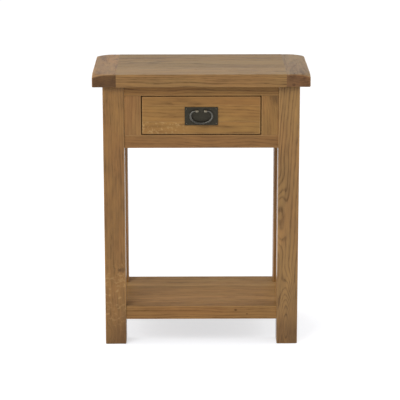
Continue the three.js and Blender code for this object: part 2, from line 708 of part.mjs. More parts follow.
function drawerSideBody(sideX) {
  const rootY = DRAWER_FRONT_THICKNESS + GLUE_LINE;
  const start = sideX > 0 ? SIDE_INNER_X : -DRAWER_WIDTH / 2;
  const outline = [[rootY, BOX_BOTTOM], [BOX_BACK_Y, BOX_BOTTOM], [BOX_BACK_Y, BOX_TOP], [rootY, BOX_TOP]];
  let side = plateAcrossX(outline, DRAWER_SIDE_THICKNESS).translate([start, 0, 0]);
  for (let i = 0; i < DOVETAIL_COUNT; i += 1) {
    side = side.add(plateAcrossX(tailOutline(i, 0), DRAWER_SIDE_THICKNESS).translate([start, 0, 0]));
  }
  const cutX = SIDE_INNER_X + DRAWER_GROOVE_DEPTH;
  const groove = block(
    [-cutX, rootY - FIT, PANEL_BOTTOM - FIT],
    [cutX, BOX_BACK_Y + OVERRUN, PANEL_TOP + FIT],
  );
  const housing = block(
    [-cutX, DRAWER_BACK_Y - DRAWER_BACK_THICKNESS / 2 - FIT, PANEL_BOTTOM],
    [cutX, DRAWER_BACK_Y + DRAWER_BACK_THICKNESS / 2 + FIT, BOX_TOP + OVERRUN],
  );
  return side.subtract(groove).subtract(housing);
}

// The places of the screws that hold the drawer bottom to the drawer back
function bottomScrewPlaces() {
  const reach = SIDE_INNER_X - BOTTOM_SCREW_FROM_SIDE;
  const places = [];
  for (let i = 0; i < BOTTOM_SCREW_COUNT; i += 1) {
    places.push(reach * (2 * i / (BOTTOM_SCREW_COUNT - 1) - 1));
  }
  return places;
}

function addDrawerBox(group) {
  addOak(group, 'drawer_front', drawerFrontBody(), OAK_DRAWER);
  for (const [side, sideX] of LEFT_AND_RIGHT) {
    addOak(group, `drawer_side_${side}`, drawerSideBody(sideX), OAK_INSIDE);
  }
  const panelX = SIDE_INNER_X + DRAWER_GROOVE_DEPTH - FIT;
  const backLow = [-panelX, DRAWER_BACK_Y - DRAWER_BACK_THICKNESS / 2, PANEL_TOP + GLUE_LINE];
  const backHigh = [panelX, DRAWER_BACK_Y + DRAWER_BACK_THICKNESS / 2, BOX_TOP - DRAWER_BACK_DROP];
  let back = block(backLow, backHigh);
  let bottom = block(
    [-panelX, DRAWER_FRONT_THICKNESS + FIT, PANEL_BOTTOM],
    [panelX, BOX_BACK_Y, PANEL_TOP],
  ).add(block(
    [-SIDE_INNER_X + FIT, DRAWER_FRONT_THICKNESS - DRAWER_GROOVE_DEPTH, PANEL_BOTTOM],
    [SIDE_INNER_X - FIT, DRAWER_FRONT_THICKNESS + OVERRUN, PANEL_TOP],
  ));
  bottomScrewPlaces().forEach((x, i) => {
    const place = [x, DRAWER_BACK_Y, PANEL_BOTTOM];
    const hole = woodScrewHole(BOTTOM_SCREW_DIAMETER, BOTTOM_SCREW_HEAD_DIAMETER, BOTTOM_SCREW_LENGTH, 0);
    back = back.subtract(hole.translate(place));
    bottom = bottom.subtract(hole.translate(place));
    const screw = woodScrew(BOTTOM_SCREW_DIAMETER, BOTTOM_SCREW_HEAD_DIAMETER, BOTTOM_SCREW_LENGTH);
    addMetal(group, `drawer_bottom_screw_${i + 1}`, screw, STEEL, place);
  });
  addOak(group, 'drawer_back', back, OAK_INSIDE);
  addOak(group, 'drawer_bottom', bottom, OAK_INSIDE);
}

// Handle. Its own frame has y = 0 on the drawer front's face and z = 0 at the plate's middle.

const PLATE_MIDDLE_Z = OPENING_HEIGHT / 2 - PLATE_BELOW_MIDDLE;
const POST_Z = PLATE_HEIGHT / 2 - POST_FROM_PLATE_TOP;
const POST_PLACES = [-POST_SPACING / 2, POST_SPACING / 2];
const BAIL_AXIS_Y = -PLATE_THICKNESS - BAIL_AXIS_FROM_PLATE;
const TACK_PLACES = ['upper', 'lower'].flatMap((level) => LEFT_AND_RIGHT.map(([side, sideX]) => [
  `${level}_${side}`,
  sideX * (PLATE_WIDTH / 2 - TACK_INSET),
  (level === 'upper' ? 1 : -1) * (PLATE_HEIGHT / 2 - TACK_INSET),
]));

function plateBody() {
  let plate = softSlab(PLATE_WIDTH, PLATE_HEIGHT, 2 * PLATE_THICKNESS, PLATE_CHAMFER)
    .rotate([-90, 0, 0])
    .translate([0, -PLATE_THICKNESS, 0])
    .subtract(block(
      [-PLATE_WIDTH, -GLUE_LINE, -PLATE_HEIGHT],
      [PLATE_WIDTH, 2 * PLATE_THICKNESS, PLATE_HEIGHT],
    ));
  for (const x of POST_PLACES) {
    const bore = lieAlongY(rod(POST_SHANK_DIAMETER + 2 * FIT, 3 * PLATE_THICKNESS));
    plate = plate.subtract(bore.translate([x, -2 * PLATE_THICKNESS, POST_Z]));
  }
  for (const [, x, z] of TACK_PLACES) {
    const hole = lieAlongY(rod(TACK_SHANK_DIAMETER + 2 * FIT, 3 * PLATE_THICKNESS, SMALL_ROUND_SIDES));
    plate = plate.subtract(hole.translate([x, -2 * PLATE_THICKNESS, z]));
  }
  return plate;
}

// A square post with an eye for the bail, and a threaded shank that runs back through the drawer front
function postBody() {
  const seat = -PLATE_THICKNESS - GLUE_LINE;
  const shankLength = PLATE_THICKNESS + DRAWER_FRONT_THICKNESS + NUT_THICKNESS + POST_SHANK_SPARE;
  const head = block(
    [-POST_WIDTH / 2, seat - POST_DEPTH, -POST_HEIGHT / 2],
    [POST_WIDTH / 2, seat, POST_HEIGHT / 2],
  );
  const shank = lieAlongY(rod(POST_SHANK_DIAMETER, shankLength + POST_DEPTH / 2, SMALL_ROUND_SIDES));
  const eye = lieAlongX(rod(BAIL_PIN_DIAMETER + 2 * FIT, POST_WIDTH + 2 * OVERRUN));
  return head
    .add(shank.translate([0, seat - POST_DEPTH / 2, 0]))
    .subtract(eye.translate([-POST_WIDTH / 2 - OVERRUN, BAIL_AXIS_Y, 0]));
}

function nutBody() {
  const nut = lieAlongY(rod(NUT_WIDTH, NUT_THICKNESS, NUT_SIDES));
  const boreLength = NUT_THICKNESS + 2 * OVERRUN;
  const bore = lieAlongY(rod(POST_SHANK_DIAMETER + 2 * FIT, boreLength, SMALL_ROUND_SIDES));
  return nut.subtract(bore.translate([0, -OVERRUN, 0]));
}

function tackBody() {
  const radius = TACK_SHANK_DIAMETER / 2;
  const headRadius = TACK_HEAD_DIAMETER / 2;
  return lieAlongY(turned([
    [0, -TACK_HEAD_HEIGHT],
    [headRadius * Math.SQRT1_2, -TACK_HEAD_HEIGHT * Math.SQRT1_2],
    [headRadius, 0],
    [radius, 0],
    [radius, TACK_LENGTH - TACK_SHANK_DIAMETER],
    [0, TACK_LENGTH],
  ], SMALL_ROUND_SIDES));
}

// The bail's middle line from the left pin to the right pin, as [x, z, diameter]
function bailLine() {
  const halfWidth = (BAIL_WIDTH - BAIL_SIDE_DIAMETER) / 2;
  const bowDrop = BAIL_DROP - BAIL_GRIP_DIAMETER / 2 - BAIL_SHOULDER_DROP;
  const shoulderX = halfWidth - BAIL_SHOULDER_RUN;
  const pinX = (POST_SPACING + POST_WIDTH) / 2 - BAIL_PIN_INSERTION;
  const right = [];
  for (let i = 0; i <= BAIL_BOW_STEPS / 2; i += 1) {
    const angle = TAU / 4 * i / (BAIL_BOW_STEPS / 2);
    const swell = BAIL_GRIP_DIAMETER + (BAIL_SIDE_DIAMETER - BAIL_GRIP_DIAMETER) * Math.sin(angle) ** 2;
    right.push([halfWidth * Math.sin(angle), -BAIL_SHOULDER_DROP - bowDrop * Math.cos(angle), swell]);
  }
  for (let i = 1; i <= BAIL_SHOULDER_STEPS; i += 1) {
    const share = i / BAIL_SHOULDER_STEPS;
    const angle = TAU / 4 * share;
    const taper = BAIL_SIDE_DIAMETER + (BAIL_PIN_DIAMETER - BAIL_SIDE_DIAMETER) * share;
    const x = shoulderX + BAIL_SHOULDER_RUN * Math.cos(angle);
    right.push([x, BAIL_SHOULDER_DROP * (Math.sin(angle) - 1), taper]);
  }
  right.push([pinX, 0, BAIL_PIN_DIAMETER]);
  const left = right.slice(1).map(([x, z, diameter]) => [-x, z, diameter]).reverse();
  return [...left, ...right];
}

// A round bar of changing thickness along a line in the x-z plane, closed at both ends
function taperedBar(line, sides) {
  const positions = [];
  const index = [];
  line.forEach(([x, z, diameter], i) => {
    const [beforeX, beforeZ] = line[Math.max(i - 1, 0)];
    const [afterX, afterZ] = line[Math.min(i + 1, line.length - 1)];
    const length = Math.hypot(afterX - beforeX, afterZ - beforeZ);
    const acrossX = -(afterZ - beforeZ) / length;
    const acrossZ = (afterX - beforeX) / length;
    for (let side = 0; side < sides; side += 1) {
      const angle = TAU * side / sides;
      const across = diameter / 2 * Math.cos(angle);
      positions.push(x + acrossX * across, diameter / 2 * Math.sin(angle), z + acrossZ * across);
    }
  });
  const ring = (i, side) => i * sides + side % sides;
  for (let i = 0; i + 1 < line.length; i += 1) {
    for (let side = 0; side < sides; side += 1) {
      index.push(ring(i, side), ring(i + 1, side), ring(i + 1, side + 1));
      index.push(ring(i, side), ring(i + 1, side + 1), ring(i, side + 1));
    }
  }
  const last = line.length - 1;
  for (let side = 1; side + 1 < sides; side += 1) {
    index.push(ring(0, 0), ring(0, side), ring(0, side + 1));
    index.push(ring(last, 0), ring(last, side + 1), ring(last, side));
  }
  const geometry = new THREE.BufferGeometry();
  geometry.setAttribute('position', new THREE.Float32BufferAttribute(positions, 3));
  geometry.setIndex(index);
  return solid(geometry);
}

function addHandle(group) {
  addMetal(group, 'handle_backplate', plateBody(), BLACKENED_IRON);
  const nutY = DRAWER_FRONT_THICKNESS + GLUE_LINE;
  POST_PLACES.forEach((x, i) => {
    const [side] = LEFT_AND_RIGHT[i];
    addMetal(group, `handle_post_${side}`, postBody(), WORN_POST, [x, 0, POST_Z]);
    addMetal(group, `handle_nut_${side}`, nutBody(), STEEL, [x, nutY, POST_Z]);
  });
  for (const [place, x, z] of TACK_PLACES) {
    const seat = -PLATE_THICKNESS - GLUE_LINE;
    addMetal(group, `handle_tack_${place}`, tackBody(), BLACKENED_IRON, [x, seat, z]);
  }
  const bail = taperedBar(bailLine(), BAIL_SIDES);
  addMetal(group, 'handle_bail', bail, WORN_IRON, [0, BAIL_AXIS_Y, POST_Z]);
}

// The whole table

function buildTable() {
  const table = new THREE.Group();
  const base = new THREE.Group();
  addLegs(base);
  addAprons(base);
  addDrawerFrame(base);
  addDrawerTrack(base);

  const top = new THREE.Group();
  top.position.z = TOP_UNDERSIDE;
  addTop(top);

  const shelf = new THREE.Group();
  shelf.position.z = SHELF_HEIGHT;
  addShelf(shelf);

  const drawer = new THREE.Group();
  drawer.position.set(0, FRAME_FACE_Y, OPENING_BOTTOM);
  addDrawerBox(drawer);

  const handle = new THREE.Group();
  handle.position.z = PLATE_MIDDLE_Z;
  addHandle(handle);
  drawer.add(handle);

  table.add(base, top, shelf, drawer);
  return table;
}

export default buildTable();
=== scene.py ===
# %% [markdown]
# # A rustic oak telephone table
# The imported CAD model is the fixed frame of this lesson. It gives the size and place of every
# board and every bit of ironwork, and the joints that let the drawer slide and its handle swing.
# Blender adds what a joiner's hand and a tin of wax add: worn arrises, the grain of each board and
# forged iron. Each finished piece lies exactly where its solid lies.

# %% Load the frame
import json
import math

import bmesh
import bpy
from mathutils import Matrix, Vector

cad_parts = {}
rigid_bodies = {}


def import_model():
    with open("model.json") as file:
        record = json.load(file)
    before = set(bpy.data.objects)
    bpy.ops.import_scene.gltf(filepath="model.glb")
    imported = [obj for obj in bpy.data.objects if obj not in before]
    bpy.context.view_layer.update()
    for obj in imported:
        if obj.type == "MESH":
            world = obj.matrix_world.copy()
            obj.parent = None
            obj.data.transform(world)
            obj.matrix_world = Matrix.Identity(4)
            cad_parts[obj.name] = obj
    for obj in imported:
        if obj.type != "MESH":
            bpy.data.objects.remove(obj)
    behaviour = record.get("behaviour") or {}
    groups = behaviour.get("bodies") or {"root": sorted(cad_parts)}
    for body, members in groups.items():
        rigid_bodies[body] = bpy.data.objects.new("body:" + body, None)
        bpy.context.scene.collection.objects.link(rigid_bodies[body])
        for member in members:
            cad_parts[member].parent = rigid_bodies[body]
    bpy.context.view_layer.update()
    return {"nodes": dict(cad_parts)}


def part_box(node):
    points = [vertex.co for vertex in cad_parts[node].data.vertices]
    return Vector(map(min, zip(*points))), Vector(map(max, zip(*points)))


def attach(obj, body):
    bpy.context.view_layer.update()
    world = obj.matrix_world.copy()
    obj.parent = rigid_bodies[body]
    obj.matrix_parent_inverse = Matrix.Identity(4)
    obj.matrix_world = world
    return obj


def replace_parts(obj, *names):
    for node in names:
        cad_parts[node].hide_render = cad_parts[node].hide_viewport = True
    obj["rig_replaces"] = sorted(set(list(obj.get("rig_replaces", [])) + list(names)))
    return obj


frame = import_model()

# %% [markdown]
# ## Small helpers
# Blender works in metres and a joiner in millimetres, so one constant turns one into the other.
# Colours are easiest to read as the hex values of a paint chart. The shader wants linear light, so
# one function undoes the screen's curve. Another adds a node together with its settings and its
# links, which keeps the long finishes readable. The inputs come in order, or by name or number,
# and it gives back one output. The kinds of node that turn up everywhere get short names. A Math
# or Vector Math node adds, unless it is told otherwise. SMOOTH lets a Map Range node fade gently,
# and COLOURS lets a Mix node mix colours and give back the mixed one.

# %% Units, colours and nodes
MM = 0.001
MATH = "ShaderNodeMath"
VECTOR = "ShaderNodeVectorMath"
NOISE = "ShaderNodeTexNoise"
RANGE = "ShaderNodeMapRange"
MIX = "ShaderNodeMix"
SMOOTH = {"interpolation_type": "SMOOTHSTEP"}
COLOURS = {"out": 2, "data_type": "RGBA"}


def linear(paint):
    """Turns a hex colour such as "#8a6a45" into the linear light that a shader expects."""
    shares = [int(paint[i:i + 2], 16) / 255 for i in (1, 3, 5)]
    light = [s / 12.92 if s <= 0.04045 else ((s + 0.055) / 1.055) ** 2.4 for s in shares]
    return (*light, 1.0)


def add(tree, kind, inputs=(), out=0, **settings):
    """Adds one node, sets it up, fills or links its inputs, and gives back one of its outputs."""
    node = tree.nodes.new(kind)
    for key, value in settings.items():
        setattr(node, key, value)
    for key, value in (inputs if isinstance(inputs, dict) else dict(enumerate(inputs))).items():
        if isinstance(value, bpy.types.NodeSocket):
            tree.links.new(value, node.inputs[key])
        else:
            node.inputs[key].default_value = value
    return node.outputs[out] if node.outputs else node


def show(name, data):
    """Makes an object of a mesh, curve, lamp or camera, and puts it into the scene."""
    piece = bpy.data.objects.new(name, data)
    bpy.context.scene.collection.objects.link(piece)
    return piece


print("oak, as a check of the colours:", linear("#8a6a45"))

# %% [markdown]
# ## The camera
# The photograph was taken from straight ahead and a little above, with a long lens, so the legs
# stay almost parallel. The place, the tilt and the lens were worked out from the corners of the
# real table. A long lens from five metres gives the same flat, calm perspective. The place is in
# millimetres, and the three angles are in radians.

# %% Camera
CAMERA_PLACE = Vector((-33.24, -5062.02, 1676.36)) * MM
CAMERA_DOWN = 0.249907
CAMERA_TURN = -0.0059979
CAMERA_ROLL = -0.0009128
LENS = 163.66
SENSOR = 36.0

camera = show("camera", bpy.data.cameras.new("camera"))
camera.data.lens = LENS
camera.data.sensor_width = SENSOR
camera.matrix_world = (
    Matrix.Translation(CAMERA_PLACE)
    @ Matrix.Rotation(CAMERA_TURN, 4, "Z")
    @ Matrix.Rotation(math.pi / 2 - CAMERA_DOWN, 4, "X")
    @ Matrix.Rotation(CAMERA_ROLL, 4, "Z")
)
bpy.context.scene.camera = camera
bpy.context.scene.view_settings.view_transform = "Standard"
print("camera at", tuple(round(v, 3) for v in camera.location), "lens", LENS, "mm")

# %% [markdown]
# ## Room, floor and light
# A furniture studio is a white room: a white floor that runs into a white wall, and light coming
# back from everywhere. The room is Blender's world. It lights the wood gently, and it looks pure
# white to the camera and to the wax, which mirrors it along the edges. The shadow on the real
# floor says where the lamps stood. It is pale beside the legs and deepest in the middle, and each
# foot has a small shadow on its inner side, so a low soft box stood on either side, as well as the
# big one in front. Part of the floor's white is its own, which keeps its shadow faint, and it
# grows a little with the distance, as a lit backdrop does.

# %% World
ROOM_LIGHT = 0.55


def seen_directly(tree):
    """1 for rays from the camera, a mirror or a glass, and 0 for light that lights a surface."""
    path = add(tree, "ShaderNodeLightPath").node.outputs
    seen = add(tree, MATH, (path["Is Camera Ray"], path["Is Glossy Ray"]), operation="MAXIMUM")
    return add(tree, MATH, (seen, path["Is Transmission Ray"]), operation="MAXIMUM")


world = bpy.data.worlds.new("white studio")
bpy.context.scene.world = world
world.use_nodes = True
room = world.node_tree
room.nodes.clear()
strength = add(room, RANGE, {"Value": seen_directly(room), "To Min": ROOM_LIGHT, "To Max": 1.0})
sky = add(room, "ShaderNodeBackground", {"Color": linear("#ffffff"), "Strength": strength})
add(room, "ShaderNodeOutputWorld", {"Surface": sky})
print("room light", ROOM_LIGHT)

# %% Floor
FLOOR_HALF = 40.0
FLOOR_THROWS = "#cbcbcb"
FLOOR_SHOWS = "#b5b6b9"
GLOW_PAINT = "#fcfdff"
GLOW_BELOW = 0.648
GLOW_FAR = 0.8
GLOW_START = 0.5
GLOW_END = 2.2


def blank_material(name):
    """A new material whose node tree is still empty, and that tree."""
    material = bpy.data.materials.new(name)
    material.use_nodes = True
    material.node_tree.nodes.clear()
    return material, material.node_tree


floor_mesh = bpy.data.meshes.new("studio_floor")
corners = [(x * FLOOR_HALF, y * FLOOR_HALF, 0) for x, y in ((-1, -1), (1, -1), (1, 1), (-1, 1))]
floor_mesh.from_pydata(corners, [], [(0, 1, 2, 3)])
floor = show("studio_floor", floor_mesh)

floor_paint, tree = blank_material("matt white floor")
seen = seen_directly(tree)
spot = add(tree, "ShaderNodeTexCoord", out="Object")
away = add(tree, VECTOR, (spot,), out="Value", operation="LENGTH")
glow = add(tree, RANGE, (away, GLOW_START, GLOW_END, GLOW_BELOW, GLOW_FAR), **SMOOTH)
glow = add(tree, MATH, (seen, glow), operation="MULTIPLY")
glow = add(tree, "ShaderNodeEmission", {"Color": linear(GLOW_PAINT), "Strength": glow})
matt = add(tree, MIX, {0: seen, 6: linear(FLOOR_THROWS), 7: linear(FLOOR_SHOWS)}, **COLOURS)
matt = add(tree, "ShaderNodeBsdfDiffuse", {"Color": matt})
both = add(tree, "ShaderNodeAddShader", (glow, matt))
add(tree, "ShaderNodeOutputMaterial", {"Surface": both})
floor.data.materials.append(floor_paint)
print("floor", 2 * FLOOR_HALF, "m across")

# %% Soft boxes
# Each has a name, a place, the height that it is aimed at, a size in metres and a power in watts.
SOFT_BOXES = (
    ("front_box", (-1.5, -2.3, 3.1), 0.45, 1.8, 72.0),
    ("left_box", (-1.9, 0.1, 0.9), 0.2, 1.0, 22.0),
    ("right_box", (1.9, 0.1, 0.9), 0.2, 1.0, 22.0),
)

for name, place, aim, size, power in SOFT_BOXES:
    lamp = show(name, bpy.data.lights.new(name, "AREA"))
    lamp.data.shape = "SQUARE"
    lamp.data.size = size
    lamp.data.energy = power
    lamp.location = place
    towards_table = Vector((0.0, 0.0, aim)) - lamp.location
    lamp.rotation_euler = towards_table.to_track_quat("-Z", "Y").to_euler()
    lamp.visible_camera = False
    print(name, "of", size, "m,", power, "W")

# %% [markdown]
# ## Waxed oak
# Oak is ring-porous: every spring the tree lays down a band of open pores, and every summer a
# band of dense wood. A board is a slice through those rings. Where the slice runs along the rings
# it shows tall arches, and where it cuts across them it shows straight stripes and pale ray
# flecks. So the finish is not painted on. Each board is placed inside an imagined log, and the
# distance from the log's pith gives the rings, on every face and on the end grain alike.
# Staining and waxing fill the pores with brown, and leave a soft sheen: an IOR of 1.5 and a
# roughness of 0.5, less where hands polish the wood and more where its wax has worn off. Real
# rings are 2 to 3 mm wide and pores 0.3 mm. Rings are drawn two or three times as wide and pores
# four times, because finer ones would not show.

# %% The log's own measures
LOG_AXIS = {"X": (0.0, math.pi / 2, 0.0), "Y": (-math.pi / 2, 0.0, 0.0), "Z": (0.0, 0.0, 0.0)}
ALONG = {"X": (1.0, 0.0, 0.0), "Y": (0.0, 1.0, 0.0), "Z": (0.0, 0.0, 1.0)}
WAVER_SWING = 4.0

# Each feature of the wood: how wide and how long it is in mm, and how many finer layers it has.
WAVERS = (70.0, 230.0, 2.0)
TONES = (46.0, 190.0, 3.0)
CLOUDS = (13.0, 48.0, 2.0)
FIBRES = (4.2, 120.0, 4.0)
PORES = (1.3, 24.0, 1.0)


def streaks(tree, place, across, along, detail):
    """Noise that is stretched along the grain, with blotches as wide and long as a feature."""
    size = (1 / across, 1 / across, 1 / along)
    place = add(tree, VECTOR, (place, size), operation="MULTIPLY")
    return add(tree, NOISE, {"Vector": place, "Scale": 1.0, "Detail": detail})


def wavering(tree, log, waver):
    """The pith wandered as the tree grew, so each place in the log is pushed aside a little."""
    push = streaks(tree, log, *WAVERS).node.outputs["Color"]
    swing = (WAVER_SWING * waver,) * 3
    middle = (-WAVER_SWING / 2 * waver,) * 3
    push = add(tree, VECTOR, (push, swing, middle), operation="MULTIPLY_ADD")
    return add(tree, VECTOR, (log, push))


print("pores drawn", PORES[0], "mm wide and", PORES[1], "mm long")

# %% [markdown]
# ## Knots, bows and arches
# A branch leaves a knot with a dark heart, and the rings bow round it for some way. Where the saw
# passed close to a bend of the pith, the rings close in smooth arches instead. All three are
# marks with a place and a reach, so one rule serves them: how near is this point to the mark? The
# wood's own clouds fray the edge of a knot or a bow, and hardly that of an arch. A very wide and
# faint knot also serves as a shade, such as the darker foot of a leg. The dark patch at the right
# stile's top corner is partly a knot and partly painted shadow of that corner, where the stile
# meets the leg and the top rail.

# %% Marks in the rings
BOW_FRAY = 1.2
ARCH_FRAY = 0.2


def nearness(tree, spot, cloud, place, reach, far=1.0, close=0.0, fray=BOW_FRAY):
    """Rises from 0 to 1 towards a place. The reach is a half size along x, y and z, in mm."""
    away = add(tree, VECTOR, (spot["Object"], Vector(place) * MM), operation="SUBTRACT")
    away = add(tree, VECTOR, (away, [1 / (r * MM) for r in reach]), operation="MULTIPLY")
    away = add(tree, VECTOR, (away,), out="Value", operation="LENGTH")
    swell = add(tree, MATH, (cloud, fray), operation="MULTIPLY")
    swell = add(tree, MATH, (swell, 1.0 - fray / 2))
    away = add(tree, MATH, (away, swell), operation="DIVIDE")
    return add(tree, RANGE, (away, far, close), **SMOOTH)


def from_pith(tree, spot, bent, cloud, bows, arches):
    """The distance from the pith in mm, which numbers the rings, pushed by bows and arches."""
    flat = add(tree, VECTOR, (bent, (1.0, 1.0, 0.0)), operation="MULTIPLY")
    radius = add(tree, VECTOR, (flat,), out="Value", operation="LENGTH")
    for marks, fray in ((bows, BOW_FRAY), (arches, ARCH_FRAY)):
        for place, reach, push in marks:
            dome = nearness(tree, spot, cloud, place, reach, fray=fray)
            dome = add(tree, MATH, (dome, push), operation="MULTIPLY")
            radius = add(tree, MATH, (radius, dome))
    return radius


print("a bow frays by", BOW_FRAY, "and an arch by", ARCH_FRAY)

# %% [markdown]
# ## The rings of the years
# The distance from the pith, divided by the width of a ring, counts the years, and what is left
# after the whole years says how far this one has come. A curve turns that into the season: it
# rises fast in spring, when the open wood grows, and falls slowly over the summer. A noise along
# the years alone makes some of them good and some bad. The pores come from a noise too, and the
# season says how thickly they lie.

# %% Seasons and pores
GOOD_YEARS = 0.37
YEAR_START = (0.0, 0.72)
YEAR_END = (1.0, 0.55)
YEAR_COURSE = ((0.1, 1.0), (0.34, 0.34), (0.62, 0.0), (0.9, 0.18))
PORE_EDGE = (0.53, 0.68)
SPRING_PORES = 0.7
SUMMER_PORES = 0.3


def seasons(tree, radius, ring, uneven):
    """Spring wood is 1 and summer wood 0, again every year, with good and bad years."""
    years = add(tree, MATH, (radius, ring), operation="DIVIDE")
    good = add(tree, NOISE, {"W": years, "Scale": GOOD_YEARS, "Detail": 1.0}, noise_dimensions="1D")
    good = add(tree, MATH, (good, uneven), operation="MULTIPLY")
    years = add(tree, MATH, (years, good))
    years = add(tree, MATH, (years,), operation="FRACT")
    season = add(tree, "ShaderNodeFloatCurve", {"Value": years})
    curve = season.node.mapping.curves[0]
    curve.points[0].location = YEAR_START
    curve.points[1].location = YEAR_END
    for at, height in YEAR_COURSE:
        curve.points.new(at, height)
    season.node.mapping.update()
    return season


def open_pores(tree, bent, season):
    """Pores lie thickest in the spring wood."""
    pore = add(tree, RANGE, (streaks(tree, bent, *PORES), *PORE_EDGE), **SMOOTH)
    thick = add(tree, MATH, (season, SPRING_PORES), operation="MULTIPLY")
    thick = add(tree, MATH, (thick, SUMMER_PORES))
    return add(tree, MATH, (pore, thick), operation="MULTIPLY")


print("a year has", 2 + len(YEAR_COURSE), "points on its curve")

# %% [markdown]
# ## The browns of the wood
# Fibres, clouds, tones, seasons and pores together choose a brown between the darkest and the
# palest that the board shows. Over it lie the ray flecks: thin plates that run out from the pith
# and look pale where a face meets them edge on. Hands and cloths rub the arrises paler, here and
# there. End grain drinks more stain, so it is darker. Upward faces can get painted shade, a
# greyer colour that stands in for less light falling on them. A shade for either is a colour that
# multiplies the wood.

# %% Browns
DARK_SHARES = (0.46, 0.40, 0.34)
PALE_SHARES = (1.42, 1.40, 1.34)
RED_TINT = "#fdf8f1"
GREEN_TINT = "#fafbf5"
TINT_EDGE = (0.4, 0.6)


def shares_of(paint, shares):
    """A darker or paler neighbour of a colour, as shares of its linear red, green and blue."""
    return tuple(min(1.0, p * s) for p, s in zip(linear(paint), (*shares, 1.0)))


def browns(tree, paint, tone, layers):
    """Sums layers of (socket, its middle, its weight) round a half, and turns that to a brown."""
    shade = 0.5
    for layer, middle, weight in layers:
        layer = add(tree, MATH, (layer, middle), operation="SUBTRACT")
        layer = add(tree, MATH, (layer, weight), operation="MULTIPLY")
        shade = add(tree, MATH, (shade, layer))
    ramp = add(tree, "ShaderNodeValToRGB", {"Fac": shade})
    stops = ramp.node.color_ramp.elements
    stops[0].color = shares_of(paint, DARK_SHARES)
    stops[1].color = shares_of(paint, PALE_SHARES)
    stops.new(0.5).color = linear(paint)
    share = add(tree, RANGE, (tone.node.outputs["Color"], *TINT_EDGE), **SMOOTH)
    tint = add(tree, MIX, {0: share, 6: linear(RED_TINT), 7: linear(GREEN_TINT)}, **COLOURS)
    return add(tree, MIX, {0: 1.0, 6: ramp, 7: tint}, blend_type="MULTIPLY", **COLOURS)


print("darkest brown of a board:", shares_of("#8a6a45", DARK_SHARES))

# %% Ray flecks
RAY_PAINT = "#b8935f"
RAY_ACROSS = 9.0
RAY_ALONG = 8.0
RAY_DEEP = 13.0
RAY_GIRTH = 110.0
RAY_CORE = 0.4
RAY_EDGE = (0.50, 0.72)


def ray_flecks(tree, spot, bent, radius, colour, rays):
    """Pale flecks round each place, over a reach in mm, in a grid that turns about the pith."""
    for strength, place, reach in rays:
        parts = add(tree, "ShaderNodeSeparateXYZ", (bent,)).node.outputs
        angle = add(tree, MATH, (parts[1], parts[0]), operation="ARCTAN2")
        girth = add(tree, MATH, (angle, RAY_GIRTH / RAY_ACROSS), operation="MULTIPLY")
        along = add(tree, MATH, (parts[2], RAY_ALONG), operation="DIVIDE")
        deep = add(tree, MATH, (radius, RAY_DEEP), operation="DIVIDE")
        plate = add(tree, "ShaderNodeCombineXYZ", (girth, along, deep))
        fleck = add(tree, NOISE, {"Vector": plate, "Scale": 1.0, "Detail": 2.0})
        near = add(tree, VECTOR, (spot["Object"], Vector(place) * MM), out="Value",
                   operation="DISTANCE")
        near = add(tree, RANGE, (near, reach * MM, RAY_CORE * reach * MM), **SMOOTH)
        near = add(tree, MATH, (near, strength), operation="MULTIPLY")
        fleck = add(tree, RANGE, (fleck, *RAY_EDGE), **SMOOTH)
        fleck = add(tree, MATH, (fleck, near), operation="MULTIPLY")
        colour = add(tree, MIX, {0: fleck, 6: colour, 7: linear(RAY_PAINT)}, **COLOURS)
    return colour


print("rays stand", RAY_ACROSS, "mm apart,", RAY_GIRTH, "mm from the pith")

# %% Wear, stain and painted shade
FROM_ARRIS = "from_arris"
RUBBED_PAINT = "#b58d5c"
RUBBED_WIDTH = 4.5
RUBBED_CORE = 0.8
RUBBED_PATCHES = 0.45
FACING_EDGE = (0.55, 0.9)


def rub(tree, tone, colour, wear):
    """Paler wood within a few mm of an arris, in patches. The tree of a board stores how far."""
    rim = add(tree, "ShaderNodeAttribute", out="Fac", attribute_name=FROM_ARRIS)
    share = add(tree, RANGE, (rim, RUBBED_WIDTH * MM, RUBBED_CORE * MM), **SMOOTH)
    share = add(tree, MATH, (share, wear), operation="MULTIPLY")
    patches = add(tree, MATH, (tone, RUBBED_PATCHES))
    share = add(tree, MATH, (share, patches), operation="MULTIPLY")
    return add(tree, MIX, {0: share, 6: colour, 7: linear(RUBBED_PAINT)}, **COLOURS)


def stain_and_painted_shade(tree, spot, colour, way, shade, both_ways=False):
    """Shades the faces that look one way, or that way and the opposite one: the real stain of end
    grain, or the painted shade of upward faces.
    """
    facing = add(tree, VECTOR, (spot["Normal"], way), out="Value", operation="DOT_PRODUCT")
    if both_ways:
        facing = add(tree, MATH, (facing,), operation="ABSOLUTE")
    share = add(tree, RANGE, (facing, *FACING_EDGE), **SMOOTH)
    return add(tree, MIX, {0: share, 6: colour, 7: linear(shade)}, blend_type="MULTIPLY",
               **COLOURS)


print("an arris is rubbed for", RUBBED_WIDTH, "mm")

# %% The waxed surface
PORE_DULLS = 0.2
FIBRE_HEIGHT = 0.35
GRAIN_DEPTH = 0.25
GRAIN_STRENGTH = 0.5
WAX_IOR = 1.5


def wax(tree, colour, pore, fibre, roughness, shine):
    """The waxed surface: pores are little gutters, and they hold dull wax."""
    dull = add(tree, MATH, (pore, PORE_DULLS), operation="MULTIPLY")
    dull = add(tree, MATH, (dull, roughness))
    height = add(tree, MATH, (fibre, FIBRE_HEIGHT), operation="MULTIPLY")
    height = add(tree, MATH, (height, pore), operation="SUBTRACT")
    relief = add(tree, "ShaderNodeBump",
                 {"Height": height, "Distance": GRAIN_DEPTH * MM, "Strength": GRAIN_STRENGTH})
    wood = add(tree, "ShaderNodeBsdfPrincipled",
               {"Base Color": colour, "Roughness": dull, "IOR": WAX_IOR,
                "Specular IOR Level": shine, "Normal": relief})
    add(tree, "ShaderNodeOutputMaterial", {"Surface": wood})


print("the grain is", GRAIN_DEPTH, "mm deep, and the wax has an IOR of", WAX_IOR)

